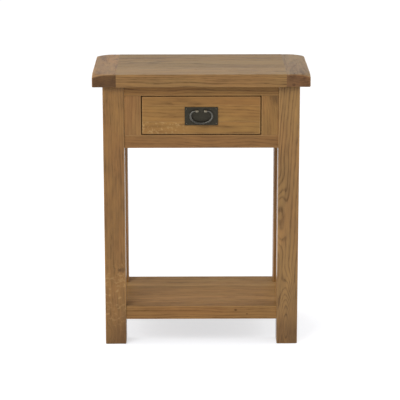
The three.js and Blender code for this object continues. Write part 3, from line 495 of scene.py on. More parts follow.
# %% The oak finish
KNOT_AND_PAINTED_SHADE_BROWN = "#3a2411"
KNOT_EDGE = (1.25, 0.4)
END_SHADE = "#b4afae"
NO_SHADE = "#ffffff"
FIBRE_WEIGHT = 0.55
CLOUD_WEIGHT = 0.9
PORE_WEIGHT = 0.2
SEASON_MIDDLE = 0.37
PORE_MIDDLE = 0.12


def oak(name, grain, pith, lean, paint, ring=6.0, contrast=1.0, waver=5.0, blotch=0.7, lines=0.2,
        uneven=2.2, rays=(), bows=(), arches=(), knots=(), wear=0.3, end_shade=END_SHADE,
        upward_painted_shade=NO_SHADE, roughness=0.5, shine=0.28):
    """Oak cut from a log whose pith passes through a point, in mm, and leans by two angles.

    A ring is so many mm wide, uneven says how much the years differ, and waver bends them by so
    many mm. Contrast, blotch and lines weigh fibres, clouds and seasons in the brown. Rays are
    (strength, place, reach), bows and arches (place, reach, push), and knots and dark patches of
    painted shade (place, reach, darkness).
    """
    material, tree = blank_material(name)
    spot = add(tree, "ShaderNodeTexCoord").node.outputs
    turn = [a + b for a, b in zip(LOG_AXIS[grain], (*lean, 0.0))]
    log = add(tree, "ShaderNodeMapping",
              {"Vector": spot["Object"], "Location": Vector(pith) * MM, "Rotation": turn,
               "Scale": (MM, MM, MM)}, vector_type="TEXTURE")
    bent = wavering(tree, log, waver)
    tone = streaks(tree, log, *TONES)
    cloud = streaks(tree, bent, *CLOUDS)
    fibre = streaks(tree, bent, *FIBRES)
    radius = from_pith(tree, spot, bent, cloud, bows, arches)
    season = seasons(tree, radius, ring, uneven)
    pore = open_pores(tree, bent, season)
    layers = ((fibre, 0.5, FIBRE_WEIGHT * contrast), (cloud, 0.5, CLOUD_WEIGHT * blotch),
              (tone, 0.5, blotch), (season, SEASON_MIDDLE, -lines * contrast),
              (pore, PORE_MIDDLE, -PORE_WEIGHT * contrast))
    colour = browns(tree, paint, tone, layers)
    colour = ray_flecks(tree, spot, bent, radius, colour, rays)
    # Knots darken the brown, and so do dark patches of painted shade, such as the right stile's
    # corner.
    for place, reach, darkness in knots:
        darkening = nearness(tree, spot, cloud, place, reach, *KNOT_EDGE)
        darkening = add(tree, MATH, (darkening, darkness), operation="MULTIPLY")
        colour = add(tree, MIX, {0: darkening, 6: colour, 7: linear(KNOT_AND_PAINTED_SHADE_BROWN)}, **COLOURS)
    colour = rub(tree, tone, colour, wear)
    colour = stain_and_painted_shade(tree, spot, colour, ALONG[grain], end_shade, both_ways=True)
    # Upward faces get painted shade, a colour that stands in for less light falling on them.
    colour = stain_and_painted_shade(tree, spot, colour, ALONG["Z"], upward_painted_shade)
    wax(tree, colour, pore, fibre, roughness, shine)
    return material


print("oak can be cut along", sorted(LOG_AXIS))

# %% [markdown]
# ## A board that has been worn by hand
# A planed board is a box, but an old one has no sharp arris left. A bevel would make every arris
# the same all the way along. Here a rule makes the shape instead: every point of the box's
# surface is held to a smaller box inside it, and pushed out again by the radius of the arris.
# The radius comes from a noise, so it wanders along the board, and the flat faces get the very
# shallow hollows that a hand plane leaves. A glued joint stays crisp: there the smaller box
# reaches all the way to the joint. Geometry Nodes hold the rule once for all. Every tree of this
# lesson starts and ends in the same way, and two helpers take that up.

# %% Starting and ending a tree
def new_tree(name, given):
    """A node group that gives back a shape, with named inputs of the kinds in a dictionary."""
    tree = bpy.data.node_groups.new(name, "GeometryNodeTree")
    tree.interface.new_socket("Geometry", in_out="OUTPUT", socket_type="NodeSocketGeometry")
    for label, kind in given.items():
        tree.interface.new_socket(label, in_out="INPUT", socket_type="NodeSocket" + kind)
    return tree, add(tree, "NodeGroupInput").node.outputs


def end_tree(tree, shape, finish):
    """Makes instances real, gives the whole shape its finish, and closes the group."""
    shape = add(tree, "GeometryNodeRealizeInstances", {"Geometry": shape})
    shape = add(tree, "GeometryNodeSetMaterial", {"Geometry": shape, "Material": finish})
    add(tree, "NodeGroupOutput", {"Geometry": shape})
    print("tree", tree.name, "has", len(tree.nodes), "nodes")
    return tree


# %% A board's grid and its arris
def crowded(tree, low, high):
    """Spreads a cube's grid over the board, and crowds its lines where the shape turns."""
    span = add(tree, VECTOR, (high, low), operation="SUBTRACT")
    half = add(tree, VECTOR, (span, (0.5, 0.5, 0.5)), operation="MULTIPLY")
    middle = add(tree, VECTOR, (low, half))
    grid = add(tree, "GeometryNodeInputPosition")
    crowd = add(tree, VECTOR, (grid,), operation="ABSOLUTE")
    crowd = add(tree, VECTOR, ((2.0, 2.0, 2.0), crowd), operation="SUBTRACT")
    crowd = add(tree, VECTOR, (grid, crowd), operation="MULTIPLY")
    place = add(tree, VECTOR, (crowd, half), operation="MULTIPLY")
    place = add(tree, VECTOR, (place, middle))
    place = add(tree, VECTOR, (place, low), operation="MAXIMUM")
    return add(tree, VECTOR, (place, high), operation="MINIMUM")


def wandering(tree, given, place):
    """The radius of the arris, which wanders along the board by a share of itself."""
    near = add(tree, VECTOR, (place, given["Wander length"]), operation="DIVIDE")
    swing = add(tree, NOISE, {"Vector": near, "Scale": 1.0, "Detail": 2.0})
    swing = add(tree, MATH, (swing, 0.5), operation="SUBTRACT")
    swing = add(tree, MATH, (swing, 2.0), operation="MULTIPLY")
    swing = add(tree, MATH, (swing, given["Wander"]), operation="MULTIPLY")
    swing = add(tree, MATH, (swing, 1.0))
    return add(tree, MATH, (given["Arris"], swing), operation="MULTIPLY")


print("a grid line halfway to the arris moves to", 0.5 * (2.0 - 0.5), "of the way")

# %% The worn shape
def worn_place(tree, given, place, low, high, wide_low, wide_high):
    """Where a point of the board's surface ends up."""
    arris = wandering(tree, given, place)

    # Hold it to the inner box, which reaches all the way to a glued side.
    inner_low = add(tree, VECTOR, (wide_low, arris))
    inner_low = add(tree, VECTOR, (low, inner_low), operation="MAXIMUM")
    inner_high = add(tree, VECTOR, (wide_high, arris), operation="SUBTRACT")
    inner_high = add(tree, VECTOR, (high, inner_high), operation="MINIMUM")
    held = add(tree, VECTOR, (place, inner_low), operation="MAXIMUM")
    held = add(tree, VECTOR, (held, inner_high), operation="MINIMUM")

    # Push it out again by the radius, less the hollows of the plane.
    outward = add(tree, VECTOR, (place, held), operation="SUBTRACT")
    outward = add(tree, VECTOR, (outward,), operation="NORMALIZE")
    far = add(tree, VECTOR, (place, given["Hollow length"]), operation="DIVIDE")
    hollow = add(tree, NOISE, {"Vector": far, "Scale": 1.0, "Detail": 1.0})
    hollow = add(tree, MATH, (hollow, given["Hollows"]), operation="MULTIPLY")
    push = add(tree, MATH, (arris, hollow), operation="SUBTRACT")
    pushed = add(tree, VECTOR, (outward, push), operation="MULTIPLY")
    return add(tree, VECTOR, (held, pushed))


def rim_distance(tree, place, wide_low, wide_high):
    """How far a point lies from the nearest arris.

    It has a distance from the nearer side along each axis, and the second smallest of the three
    is how far it is from the arris: their sum, less the smallest and the largest."""
    from_low = add(tree, VECTOR, (place, wide_low), operation="SUBTRACT")
    from_high = add(tree, VECTOR, (wide_high, place), operation="SUBTRACT")
    nearer = add(tree, VECTOR, (from_low, from_high), operation="MINIMUM")
    x, y, z = add(tree, "ShaderNodeSeparateXYZ", (nearer,)).node.outputs
    found = {}
    for operation in ("ADD", "MINIMUM", "MAXIMUM"):
        pair = add(tree, MATH, (x, y), operation=operation)
        found[operation] = add(tree, MATH, (pair, z), operation=operation)
    second = add(tree, MATH, (found["ADD"], found["MINIMUM"]), operation="SUBTRACT")
    return add(tree, MATH, (second, found["MAXIMUM"]), operation="SUBTRACT")


print("30, 4 and 1 mm from its nearer sides, a point is", sorted((30, 4, 1))[1], "mm from an arris")

# %% The worn board tree
SHARP_ANGLE = 0.8
SAME_PLACE = 0.02 * MM


def worn_board_tree():
    """Builds the node group: two corners and an arris go in, a worn board comes out."""
    tree, given = new_tree("worn_board", {
        "Low corner": "Vector", "High corner": "Vector", "Glued low": "Vector",
        "Glued high": "Vector", "Arris": "Float", "Wander": "Float", "Wander length": "Float",
        "Hollows": "Float", "Hollow length": "Float", "Lines X": "Int", "Lines Y": "Int",
        "Lines Z": "Int", "Finish": "Material"})
    cube = add(tree, "GeometryNodeMeshCube",
               {"Size": (2.0, 2.0, 2.0), "Vertices X": given["Lines X"],
                "Vertices Y": given["Lines Y"], "Vertices Z": given["Lines Z"]})
    low, high = given["Low corner"], given["High corner"]
    wide_low = add(tree, VECTOR, (low, given["Glued low"]), operation="SUBTRACT")
    wide_high = add(tree, VECTOR, (high, given["Glued high"]))
    place = crowded(tree, low, high)
    worn = worn_place(tree, given, place, low, high, wide_low, wide_high)
    rim = rim_distance(tree, place, wide_low, wide_high)
    kept = add(tree, "GeometryNodeStoreNamedAttribute",
               {"Geometry": cube, "Name": FROM_ARRIS, "Value": rim},
               data_type="FLOAT", domain="POINT")
    shaped = add(tree, "GeometryNodeSetPosition", {"Geometry": kept, "Position": worn})
    shaped = add(tree, "GeometryNodeMergeByDistance", {"Geometry": shaped, "Distance": SAME_PLACE})

    # Worn surfaces are shaded smooth, and only the edges of a glued side stay crisp.
    smooth = add(tree, "GeometryNodeSetShadeSmooth", {"Geometry": shaped})
    corner = add(tree, "GeometryNodeInputMeshEdgeAngle")
    corner = add(tree, "FunctionNodeCompare", (corner, SHARP_ANGLE), operation="GREATER_THAN")
    crisp = add(tree, "GeometryNodeSetShadeSmooth",
                {"Geometry": smooth, "Selection": corner, "Shade Smooth": False}, domain="EDGE")
    return end_tree(tree, crisp, given["Finish"])


WORN_BOARD = worn_board_tree()

# %% Keeping what a modifier makes
def settled(piece, modifier):
    """What a modifier makes of a piece, as a plain mesh. The modifier comes off the piece.

    Mesh nodes leave an empty material slot behind, so only the finish in use stays."""
    graph = bpy.context.evaluated_depsgraph_get()
    mesh = bpy.data.meshes.new_from_object(
        piece.evaluated_get(graph), preserve_all_data_layers=True, depsgraph=graph)
    piece.modifiers.remove(modifier)
    finishes = [finish for finish in mesh.materials if finish]
    mesh.materials.clear()
    for finish in finishes[-1:]:
        mesh.materials.append(finish)
    for face in mesh.polygons:
        face.material_index = 0
    return mesh


def run_tree(name, tree, values, start=None):
    """Runs a node tree on a mesh or curve, and gives back its result as a plain mesh object."""
    source = show(name + "_source", start or bpy.data.meshes.new(name + "_source"))
    modifier = source.modifiers.new("tree", "NODES")
    modifier.node_group = tree
    for item in tree.interface.items_tree:
        if item.item_type == "SOCKET" and item.in_out == "INPUT" and item.name in values:
            modifier[item.identifier] = values[item.name]
    result = settled(source, modifier)
    bpy.data.objects.remove(source)
    result.name = name
    return show(name, result)


print("trees ready to run:", len(bpy.data.node_groups))

# %% [markdown]
# ## Dressing a solid
# A finished piece has to say two things: the body that it rides on when the drawer slides or
# the handle swings, and the solids that it stands for, which are then hidden. Where a tenon or a
# tongue of the solid is buried in other wood, the piece stops at the shoulder, because nobody ever
# sees the rest.

# %% Dressing a solid
def dress(piece, body, slot, *nodes):
    """The piece rides on its body and stands for its CAD nodes. The slot is not used."""
    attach(piece, body)
    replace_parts(piece, *nodes)
    print(piece.name, "has", len(piece.data.polygons), "faces")
    return piece


def visible(node, **shoulders):
    """A node's box, cut back to what shows: tenons and tongues inside other wood are left out."""
    low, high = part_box(node)
    for axis, (first, last) in shoulders.items():
        i = "xyz".index(axis)
        low[i] = max(low[i], first * MM)
        high[i] = min(high[i], last * MM)
    return low, high


print("solids to dress:", len(frame["nodes"]))

# %% [markdown]
# ## Cutting boards to length, and their wear
# Every board goes through the same function. It spreads the grid's lines by the board's length,
# so that a long leg and a short stile are equally fine, and runs the tree. The letters of glued
# name the sides that are joined to other wood: x, y and z for the low sides, capitals for the
# high ones. At such a side the rule acts as if the board ran on for a spare length inside the
# other wood. That is more than the arris, so the joint stays crisp, and a long spare also keeps
# the rubbed rim away from the joint.

# %% The board function
LINE_EVERY = 14.0
FEWEST_LINES = 13
WANDER = 0.45
WANDER_LENGTH = 55.0
HOLLOWS = 0.35
HOLLOW_LENGTH = 60.0
GLUED_SPARE = 8.0


def board(name, corners, finish, arris, glued="", wander=WANDER, wander_length=WANDER_LENGTH,
          hollows=HOLLOWS, line_every=LINE_EVERY, spare=GLUED_SPARE):
    """A worn board between two corners, in one finish."""
    low, high = corners
    spare_low = [spare * MM if axis in glued else 0.0 for axis in "xyz"]
    spare_high = [spare * MM if axis in glued else 0.0 for axis in "XYZ"]
    lines = [max(FEWEST_LINES, int((high[i] - low[i]) / MM / line_every) | 1) for i in range(3)]
    return run_tree(name, WORN_BOARD, {
        "Low corner": low, "High corner": high, "Glued low": spare_low, "Glued high": spare_high,
        "Arris": arris * MM, "Wander": wander, "Wander length": wander_length * MM,
        "Hollows": hollows * MM, "Hollow length": HOLLOW_LENGTH * MM,
        "Lines X": lines[0], "Lines Y": lines[1], "Lines Z": lines[2], "Finish": finish})


print("a grid line every", LINE_EVERY, "mm, and", FEWEST_LINES, "at least")

# %% [markdown]
# ## The legs
# Four posts of solid oak, 59 mm square, polished by years of dusting, so they shine more than the
# rest. The front left one shows ray flecks near its foot and a knot above them, so its pith lies
# off to one side. The front right one is cut closer to the pith's plane. It shows arches low down
# and higher up, and straight grain between them. Each leg is cut from its own place in its own
# log, so a table of cuts and one loop make all four.

# %% Legs
LEG_ROUGHNESS = 0.3
LEG_ARRIS = 2.8

leg_cuts = {
    "front_left": dict(
        pith=(-150.0, -128.0, 0.0), lean=(0.012, -0.01), paint="#89643a",
        ring=5.0, contrast=1.25, blotch=1.0,
        rays=[(0.48, (-236.0, -150.0, 145.0), 125.0)],
        bows=[((-226.0, -150.0, 219.0), (34.0, 40.0, 26.0), 9.0),
              ((-244.0, -150.0, 30.0), (30.0, 50.0, 60.0), 14.0)],
        knots=[((-231.0, -150.0, 219.0), (6.0, 15.0, 5.0), 0.45),
               ((-221.0, -150.0, 220.0), (13.0, 15.0, 7.5), 0.4),
               ((-242.0, -150.0, 430.0), (60.0, 40.0, 130.0), 0.07),
               ((-242.0, -150.0, -5.0), (70.0, 40.0, 85.0), 0.34)]),
    "front_right": dict(
        pith=(300.0, -60.0, 0.0), lean=(0.0, 0.05), paint="#916e44",
        lines=0.28, uneven=1.0, contrast=1.3, blotch=0.75, waver=3.0,
        arches=[((243.0, -150.0, 48.0), (34.0, 60.0, 195.0), 50.0),
                ((210.0, -150.0, 380.0), (40.0, 60.0, 140.0), -26.0)],
        knots=[((223.0, -150.0, 340.0), (6.0, 15.0, 5.0), 0.2),
               ((242.0, -150.0, 430.0), (60.0, 40.0, 130.0), 0.04),
               ((242.0, -150.0, -5.0), (70.0, 40.0, 95.0), 0.38)]),
    "rear_left": dict(pith=(-300.0, 60.0, 0.0), lean=(0.02, 0.01), paint="#87623a"),
    "rear_right": dict(pith=(190.0, 160.0, 0.0), lean=(-0.02, 0.02), paint="#87623a"),
}
for corner, cut_from in leg_cuts.items():
    finish = oak("waxed oak leg " + corner.replace("_", " "), "Z", roughness=LEG_ROUGHNESS,
                 **cut_from)
    leg = board("oak_leg_" + corner, visible("leg_" + corner), finish, LEG_ARRIS)
    dress(leg, "table", "oak_leg", "leg_" + corner)

# %% [markdown]
# ## The frame round the drawer
# Two rails and two stiles stand in front of the drawer's box, and an apron closes each side and
# the back. Rails and aprons have their grain lying down, stiles have it standing up. Their
# tenons are hidden inside the legs, so only the wood between the shoulders is drawn here.

# %% Rails, stiles and aprons
FRAME_ARRIS = 1.2
SHOULDERS = {"x": (-212.9, 212.9)}
SIDE_SHOULDERS = {"y": (-90.9, 90.9)}
OPENING = {"z": (607.1, 716.9)}
HIDDEN_PAINT = "#87623a"


def frame_board(name, node, shows, glued, grain, pith, lean, paint, **more):
    """One board of the frame round the drawer, in its own cut of oak."""
    finish = oak("waxed " + name.replace("_", " "), grain, pith, lean, paint, **more)
    piece = board(name, visible(node, **shows), finish, FRAME_ARRIS, glued)
    return dress(piece, "table", "oak_frame", node)


frame_board("oak_rail_top", "front_rail_top", SHOULDERS, "xXZ",
            "X", (0.0, -60.0, 790.0), (0.0, 0.02), "#906a3c", contrast=1.4, blotch=0.5)
frame_board("oak_rail_bottom", "front_rail_bottom", SHOULDERS, "xX",
            "X", (60.0, -190.0, 560.0), (0.0, 0.015), "#88633a", ring=5.0, blotch=0.5)
frame_board("oak_stile_left", "front_stile_left", OPENING, "zZ",
            "Z", (-120.0, -100.0, 660.0), (0.03, 0.02), "#936c41", contrast=0.8, blotch=0.45)
# The right stile's top corner, against the leg and the top rail, is darkened partly by a knot and
# partly by painted shadow.
frame_board("oak_stile_right", "front_stile_right", OPENING, "zZ",
            "Z", (150.0, -120.0, 660.0), (-0.03, 0.03), "#906b3e",
            bows=[((212.0, -146.0, 717.0), (45.0, 30.0, 50.0), 16.0)],
            knots=[((213.0, -146.0, 718.0), (30.0, 15.0, 32.0), 0.52)])
frame_board("oak_apron_left", "side_apron_left", SIDE_SHOULDERS, "yYZ",
            "Y", (-330.0, 0.0, 600.0), (0.02, 0.0), HIDDEN_PAINT)
frame_board("oak_apron_right", "side_apron_right", SIDE_SHOULDERS, "yYZ",
            "Y", (330.0, 0.0, 680.0), (0.02, 0.0), HIDDEN_PAINT)
frame_board("oak_apron_back", "back_apron", SHOULDERS, "xXZ",
            "X", (0.0, 60.0, 700.0), (0.0, 0.03), HIDDEN_PAINT, ring=7.0)

# %% [markdown]
# ## The top
# Three boards are glued side by side, and a cleat runs across each end to keep them flat. Years
# of knocks have rounded the four outer corners down, which a rule describes well: inside a
# 60 mm square at each corner, the wood drops away faster the further it lies from the square's
# inner point. A second tree lowers the points of a finished cleat by that rule. End grain drinks
# stain unevenly, and the left cleat's ends drank more than the right one's, so each has its own
# end shade.

# %% The worn corner tree
CORNER_CURVE = 1.5


def worn_corner_tree():
    """Builds the node group that lowers the outer corners of a top by the distance rule."""
    tree, given = new_tree("worn_corner", {
        "Geometry": "Geometry", "Half width": "Float", "Half depth": "Float",
        "Underside": "Float", "Thickness": "Float", "Reach": "Float", "Drop": "Float",
        "Finish": "Material"})
    place = add(tree, "GeometryNodeInputPosition")
    parts = add(tree, "ShaderNodeSeparateXYZ", (place,)).node.outputs

    # 0 at the square's inner point, 1 at its sides and the square root of 2 at its corner.
    past = []
    for part, side in ((parts[0], "Half width"), (parts[1], "Half depth")):
        out = add(tree, MATH, (part,), operation="ABSOLUTE")
        start = add(tree, MATH, (given[side], given["Reach"]), operation="SUBTRACT")
        out = add(tree, MATH, (out, start), operation="SUBTRACT")
        out = add(tree, MATH, (out, 0.0), operation="MAXIMUM")
        past.append(add(tree, MATH, (out, given["Reach"]), operation="DIVIDE"))
    away = add(tree, "ShaderNodeCombineXYZ", past)
    away = add(tree, VECTOR, (away,), out="Value", operation="LENGTH")
    away = add(tree, MATH, (away, 1.0), operation="SUBTRACT")
    away = add(tree, MATH, (away, 0.0), operation="MAXIMUM")
    away = add(tree, MATH, (away, math.sqrt(2) - 1), operation="DIVIDE")

    # The underside stays flat, so a point goes down by its share of the height.
    drop = add(tree, MATH, (away, CORNER_CURVE), operation="POWER")
    drop = add(tree, MATH, (drop, given["Drop"]), operation="MULTIPLY")
    height = add(tree, MATH, (parts[2], given["Underside"]), operation="SUBTRACT")
    height = add(tree, MATH, (height, given["Thickness"]), operation="DIVIDE")
    down = add(tree, MATH, (drop, height), operation="MULTIPLY")
    down = add(tree, MATH, (down, -1.0), operation="MULTIPLY")
    offset = add(tree, "ShaderNodeCombineXYZ", {2: down})
    moved = add(tree, "GeometryNodeSetPosition", {"Geometry": given["Geometry"], "Offset": offset})
    return end_tree(tree, moved, given["Finish"])


WORN_CORNER = worn_corner_tree()

# %% Top boards
CLEAT_JOINT = {"x": (-233.95, 233.95)}
GLUED_SIDES = {"front": "xXY", "middle": "xXyY", "back": "xXy"}
TOP_ARRIS = 1.6
BOARD_WANDER = 0.25

# The front board's upper face is painted a little greyer than its edge: painted shade.
top_cuts = {
    "front": dict(pith=(0.0, -110.0, 690.0), lean=(0.0, 0.012), paint="#8c6a41", contrast=1.7,
                  wear=0.15, upward_painted_shade="#f4fdfb"),
    "middle": dict(pith=(0.0, 30.0, 650.0), lean=(0.01, -0.012), paint="#7c6034", contrast=1.6),
    "back": dict(pith=(0.0, 90.0, 700.0), lean=(0.0, 0.015), paint="#7c5f31", contrast=1.6),
}
for place, cut_from in top_cuts.items():
    finish = oak("waxed oak top " + place, "X", blotch=0.45, **cut_from)
    piece = board("oak_top_" + place, visible("top_board_" + place, **CLEAT_JOINT), finish,
                  TOP_ARRIS, GLUED_SIDES[place], wander=BOARD_WANDER)
    dress(piece, "table", "oak_top", "top_board_" + place)

# %% Cleats
TOP_HALF_WIDTH = 300.0
TOP_HALF_DEPTH = 165.0
CORNER_REACH = 60.0
CORNER_DROP = 8.8
CLEAT_LINE_EVERY = 7.0

# Each cleat has its glued side, its arris in mm and its cut of oak.
cleats = {
    "left": ("X", 3.5, dict(
        pith=(-262.0, 0.0, 700.0), paint="#8a6840", contrast=0.75, end_shade="#b2a7a1",
        bows=[((-241.0, 80.0, 780.0), (30.0, 60.0, 30.0), 12.0)],
        knots=[((-241.0, 80.0, 780.0), (9.0, 14.0, 10.0), 0.4),
               ((-268.0, -165.0, 753.0), (45.0, 12.0, 11.0), 0.2)])),
    "right": ("x", 4.5, dict(
        pith=(270.0, 0.0, 840.0), paint="#7e6444", contrast=0.8, end_shade="#ecd4ca",
        knots=[((253.5, -165.0, 751.0), (5.0, 15.0, 3.5), 0.6)])),
}
for side, (glued, arris, cut_from) in cleats.items():
    finish = oak("waxed oak cleat " + side, "Y", lean=(0.02, 0.0), blotch=1.1, **cut_from)
    low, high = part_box("top_cleat_" + side)
    plain = board("cleat_before_wear_" + side, (low, high), finish, arris, glued,
                  line_every=CLEAT_LINE_EVERY)
    shape = plain.data
    bpy.data.objects.remove(plain)
    piece = run_tree("oak_cleat_" + side, WORN_CORNER, {
        "Half width": TOP_HALF_WIDTH * MM, "Half depth": TOP_HALF_DEPTH * MM, "Underside": low.z,
        "Thickness": high.z - low.z, "Reach": CORNER_REACH * MM, "Drop": CORNER_DROP * MM,
        "Finish": finish}, shape)
    dress(piece, "table", "oak_cleat", "top_cleat_" + side)

# %% [markdown]
# ## The shelf
# Three boards again, as thick as the top. The front and back boards are notched round the legs,
# so each is a worn board with two leg-sized blocks cut away. The Boolean modifier does what the
# joiner's saw does. What stands on a shelf wears its wax off, so it is duller than the top. Its
# upper face lies in the shade of the top, and is painted greyer: painted shade.

# %% Cutting with blocks
CUT_ROOM = 0.1


def mesh_of(name, shape):
    """Turns a finished bmesh into a mesh."""
    mesh = bpy.data.meshes.new(name)
    shape.to_mesh(mesh)
    shape.free()
    return mesh


def block(low, high):
    """A plain block that only cuts, and is thrown away afterwards."""
    shape = bmesh.new()
    bmesh.ops.create_cube(shape, size=1.0)
    for vertex in shape.verts:
        vertex.co = [low[i] if vertex.co[i] < 0 else high[i] for i in range(3)]
    return show("cutter", mesh_of("cutter", shape))


def boolean(piece, other, operation):
    """Combines a piece with another shape, which is used up, and keeps the result as its mesh."""
    modifier = piece.modifiers.new("saw", "BOOLEAN")
    modifier.operation = operation
    modifier.solver = "EXACT"
    modifier.object = other
    piece.data = settled(piece, modifier)
    piece.data.name = piece.name
    bpy.data.objects.remove(other)
    return piece


print("a notch is cut", CUT_ROOM, "mm wider than its leg")

# %% Shelf boards
SHELF_ARRIS = 1.8
# The shelf's wax, and painted shade that greys its upward faces.
SHELF_FINISH_AND_PAINTED_SHADE = dict(shine=0.13, roughness=0.62, upward_painted_shade="#e7ece8", blotch=0.5)

shelf_cuts = {
    "front": dict(pith=(0.0, -60.0, 20.0), lean=(0.0, 0.012), paint="#936d44", contrast=1.2,
                  knots=[((97.0, -146.0, 100.0), (5.0, 9.0, 3.5), 0.65),
                         ((129.0, -146.0, 88.0), (3.0, 9.0, 2.2), 0.6)]),
    "middle": dict(pith=(0.0, 0.0, 20.0), lean=(0.008, 0.01), paint="#8c673e"),
    "back": dict(pith=(0.0, 140.0, 10.0), lean=(0.0, -0.012), paint="#9b764c", contrast=1.1),
}
notches = {"front": ["leg_front_left", "leg_front_right"], "middle": [],
           "back": ["leg_rear_left", "leg_rear_right"]}
for place, cut_from in shelf_cuts.items():
    finish = oak("waxed oak shelf " + place, "X", **SHELF_FINISH_AND_PAINTED_SHADE, **cut_from)
    piece = board("oak_shelf_" + place, visible("shelf_board_" + place), finish, SHELF_ARRIS,
                  GLUED_SIDES[place], wander=BOARD_WANDER)
    for leg in notches[place]:
        low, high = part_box(leg)
        room = Vector((CUT_ROOM, CUT_ROOM, CUT_ROOM)) * MM
        boolean(piece, block(low - room, high + room), "DIFFERENCE")
    dress(piece, "table", "oak_shelf", "shelf_board_" + place)

# %% [markdown]
# ## The drawer front
# The yellowest board of the table. It is glued up from three staves, each from its own log: the
# top one is a little darker, and the lowest shows ray flecks at its left. Behind, it is rebated
# for the drawer's sides and grooved for the bottom. A Boolean keeps of each stave only what lies
# inside the solid, so the staves get those sockets, grooves and holes from the CAD model. Their
# spare is short, so their joints are rubbed a little paler, as a hand that feels for the joint
# would leave them.

# %% Keeping the joints of a solid, and joining pieces
DOUBLES = 0.001 * MM


def keep_inside(piece, node):
    """Keeps only what lies inside a solid, so the piece gets its sockets, grooves and holes."""
    shape = bmesh.new()
    shape.from_mesh(frame["nodes"][node].data)
    bmesh.ops.remove_doubles(shape, verts=shape.verts, dist=DOUBLES)
    return boolean(piece, show("solid_copy", mesh_of("solid_copy", shape)), "INTERSECT")


def join(name, parts):
    """Makes one piece of several, each keeping its finish."""
    merged = bmesh.new()
    finishes = []
    for part in parts:
        finish = part.data.materials[0]
        if finish not in finishes:
            finishes.append(finish)
        for face in part.data.polygons:
            face.material_index = finishes.index(finish)
        merged.from_mesh(part.data)
        bpy.data.objects.remove(part)
    mesh = mesh_of(name, merged)
    for finish in finishes:
        mesh.materials.append(finish)
    return show(name, mesh)


print("a solid's points are one point within", DOUBLES / MM, "mm")

# %% Drawer front
DRAWER_ARRIS = 1.8
STAVE_JOINTS = (644.5 * MM, 690.5 * MM)
STAVE_LINE_EVERY = 9.0
STAVE_SPARE = 2.2

# From the lowest up, each stave has its glued sides and its cut of oak.
staves = {
    "bottom": ("Z", dict(
        pith=(0.0, -70.0, 590.0), lean=(0.0, 0.012), paint="#956f3e", blotch=0.6, wear=0.5,
        rays=[(0.75, (-114.0, -146.0, 627.0), 95.0)])),
    "middle": ("zZ", dict(
        pith=(0.0, -90.0, 760.0), lean=(0.0, 0.02), paint="#956f3e", ring=9.0, blotch=0.55,
        knots=[((-81.0, -146.0, 664.0), (16.0, 15.0, 5.0), 0.16)])),
    "top": ("z", dict(
        pith=(0.0, -40.0, 700.0), lean=(0.01, 0.03), paint="#916a3b", ring=5.0, blotch=0.5)),
}
low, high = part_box("drawer_front")
levels = (low.z, *STAVE_JOINTS, high.z)
parts = []
for (place, (glued, cut_from)), from_z, to_z in zip(staves.items(), levels, levels[1:]):
    finish = oak("waxed oak drawer " + place + " stave", "X", **cut_from)
    corners = (Vector((low.x, low.y, from_z)), Vector((high.x, high.y, to_z)))
    stave = board(place + "_stave", corners, finish, DRAWER_ARRIS, glued,
                  line_every=STAVE_LINE_EVERY, spare=STAVE_SPARE)
    parts.append(keep_inside(stave, "drawer_front"))
dress(join("oak_drawer_front", parts), "drawer", "oak_drawer", "drawer_front")

# %% [markdown]
# ## Blackened iron
# The handle is cheap forged and bent iron, blackened and waxed, so it is nearly black in the
# hollows and rubbed to grey metal where fingers touch it. Iron is a metal, with a roughness near
# 0.5 when it is scaled and near 0.35 where it is rubbed. Its dents are 3 mm across and its grit
# is 0.6 mm, about as coarse as fire scale, and both are drawn at that size. The steel screws
# take the same finish, bright nearly all over. The bail also gets painted light: its sides and
# shoulders are painted brighter than its grip, as if more light fell on them.

# %% The iron finish
DENT_SCALE = 0.32
GRIT_SCALE = 1.6
DENT_SHARE = 0.6
GRIT_SHARE = 0.4
BARE_EDGE = (0.62, 0.78)
BARE_SHIFT = 0.4
RUBBED_SHINE = 0.14
GRIT_HEIGHT = 0.3
IRON_DEPTH = 0.3
IRON_STRENGTH = 0.4


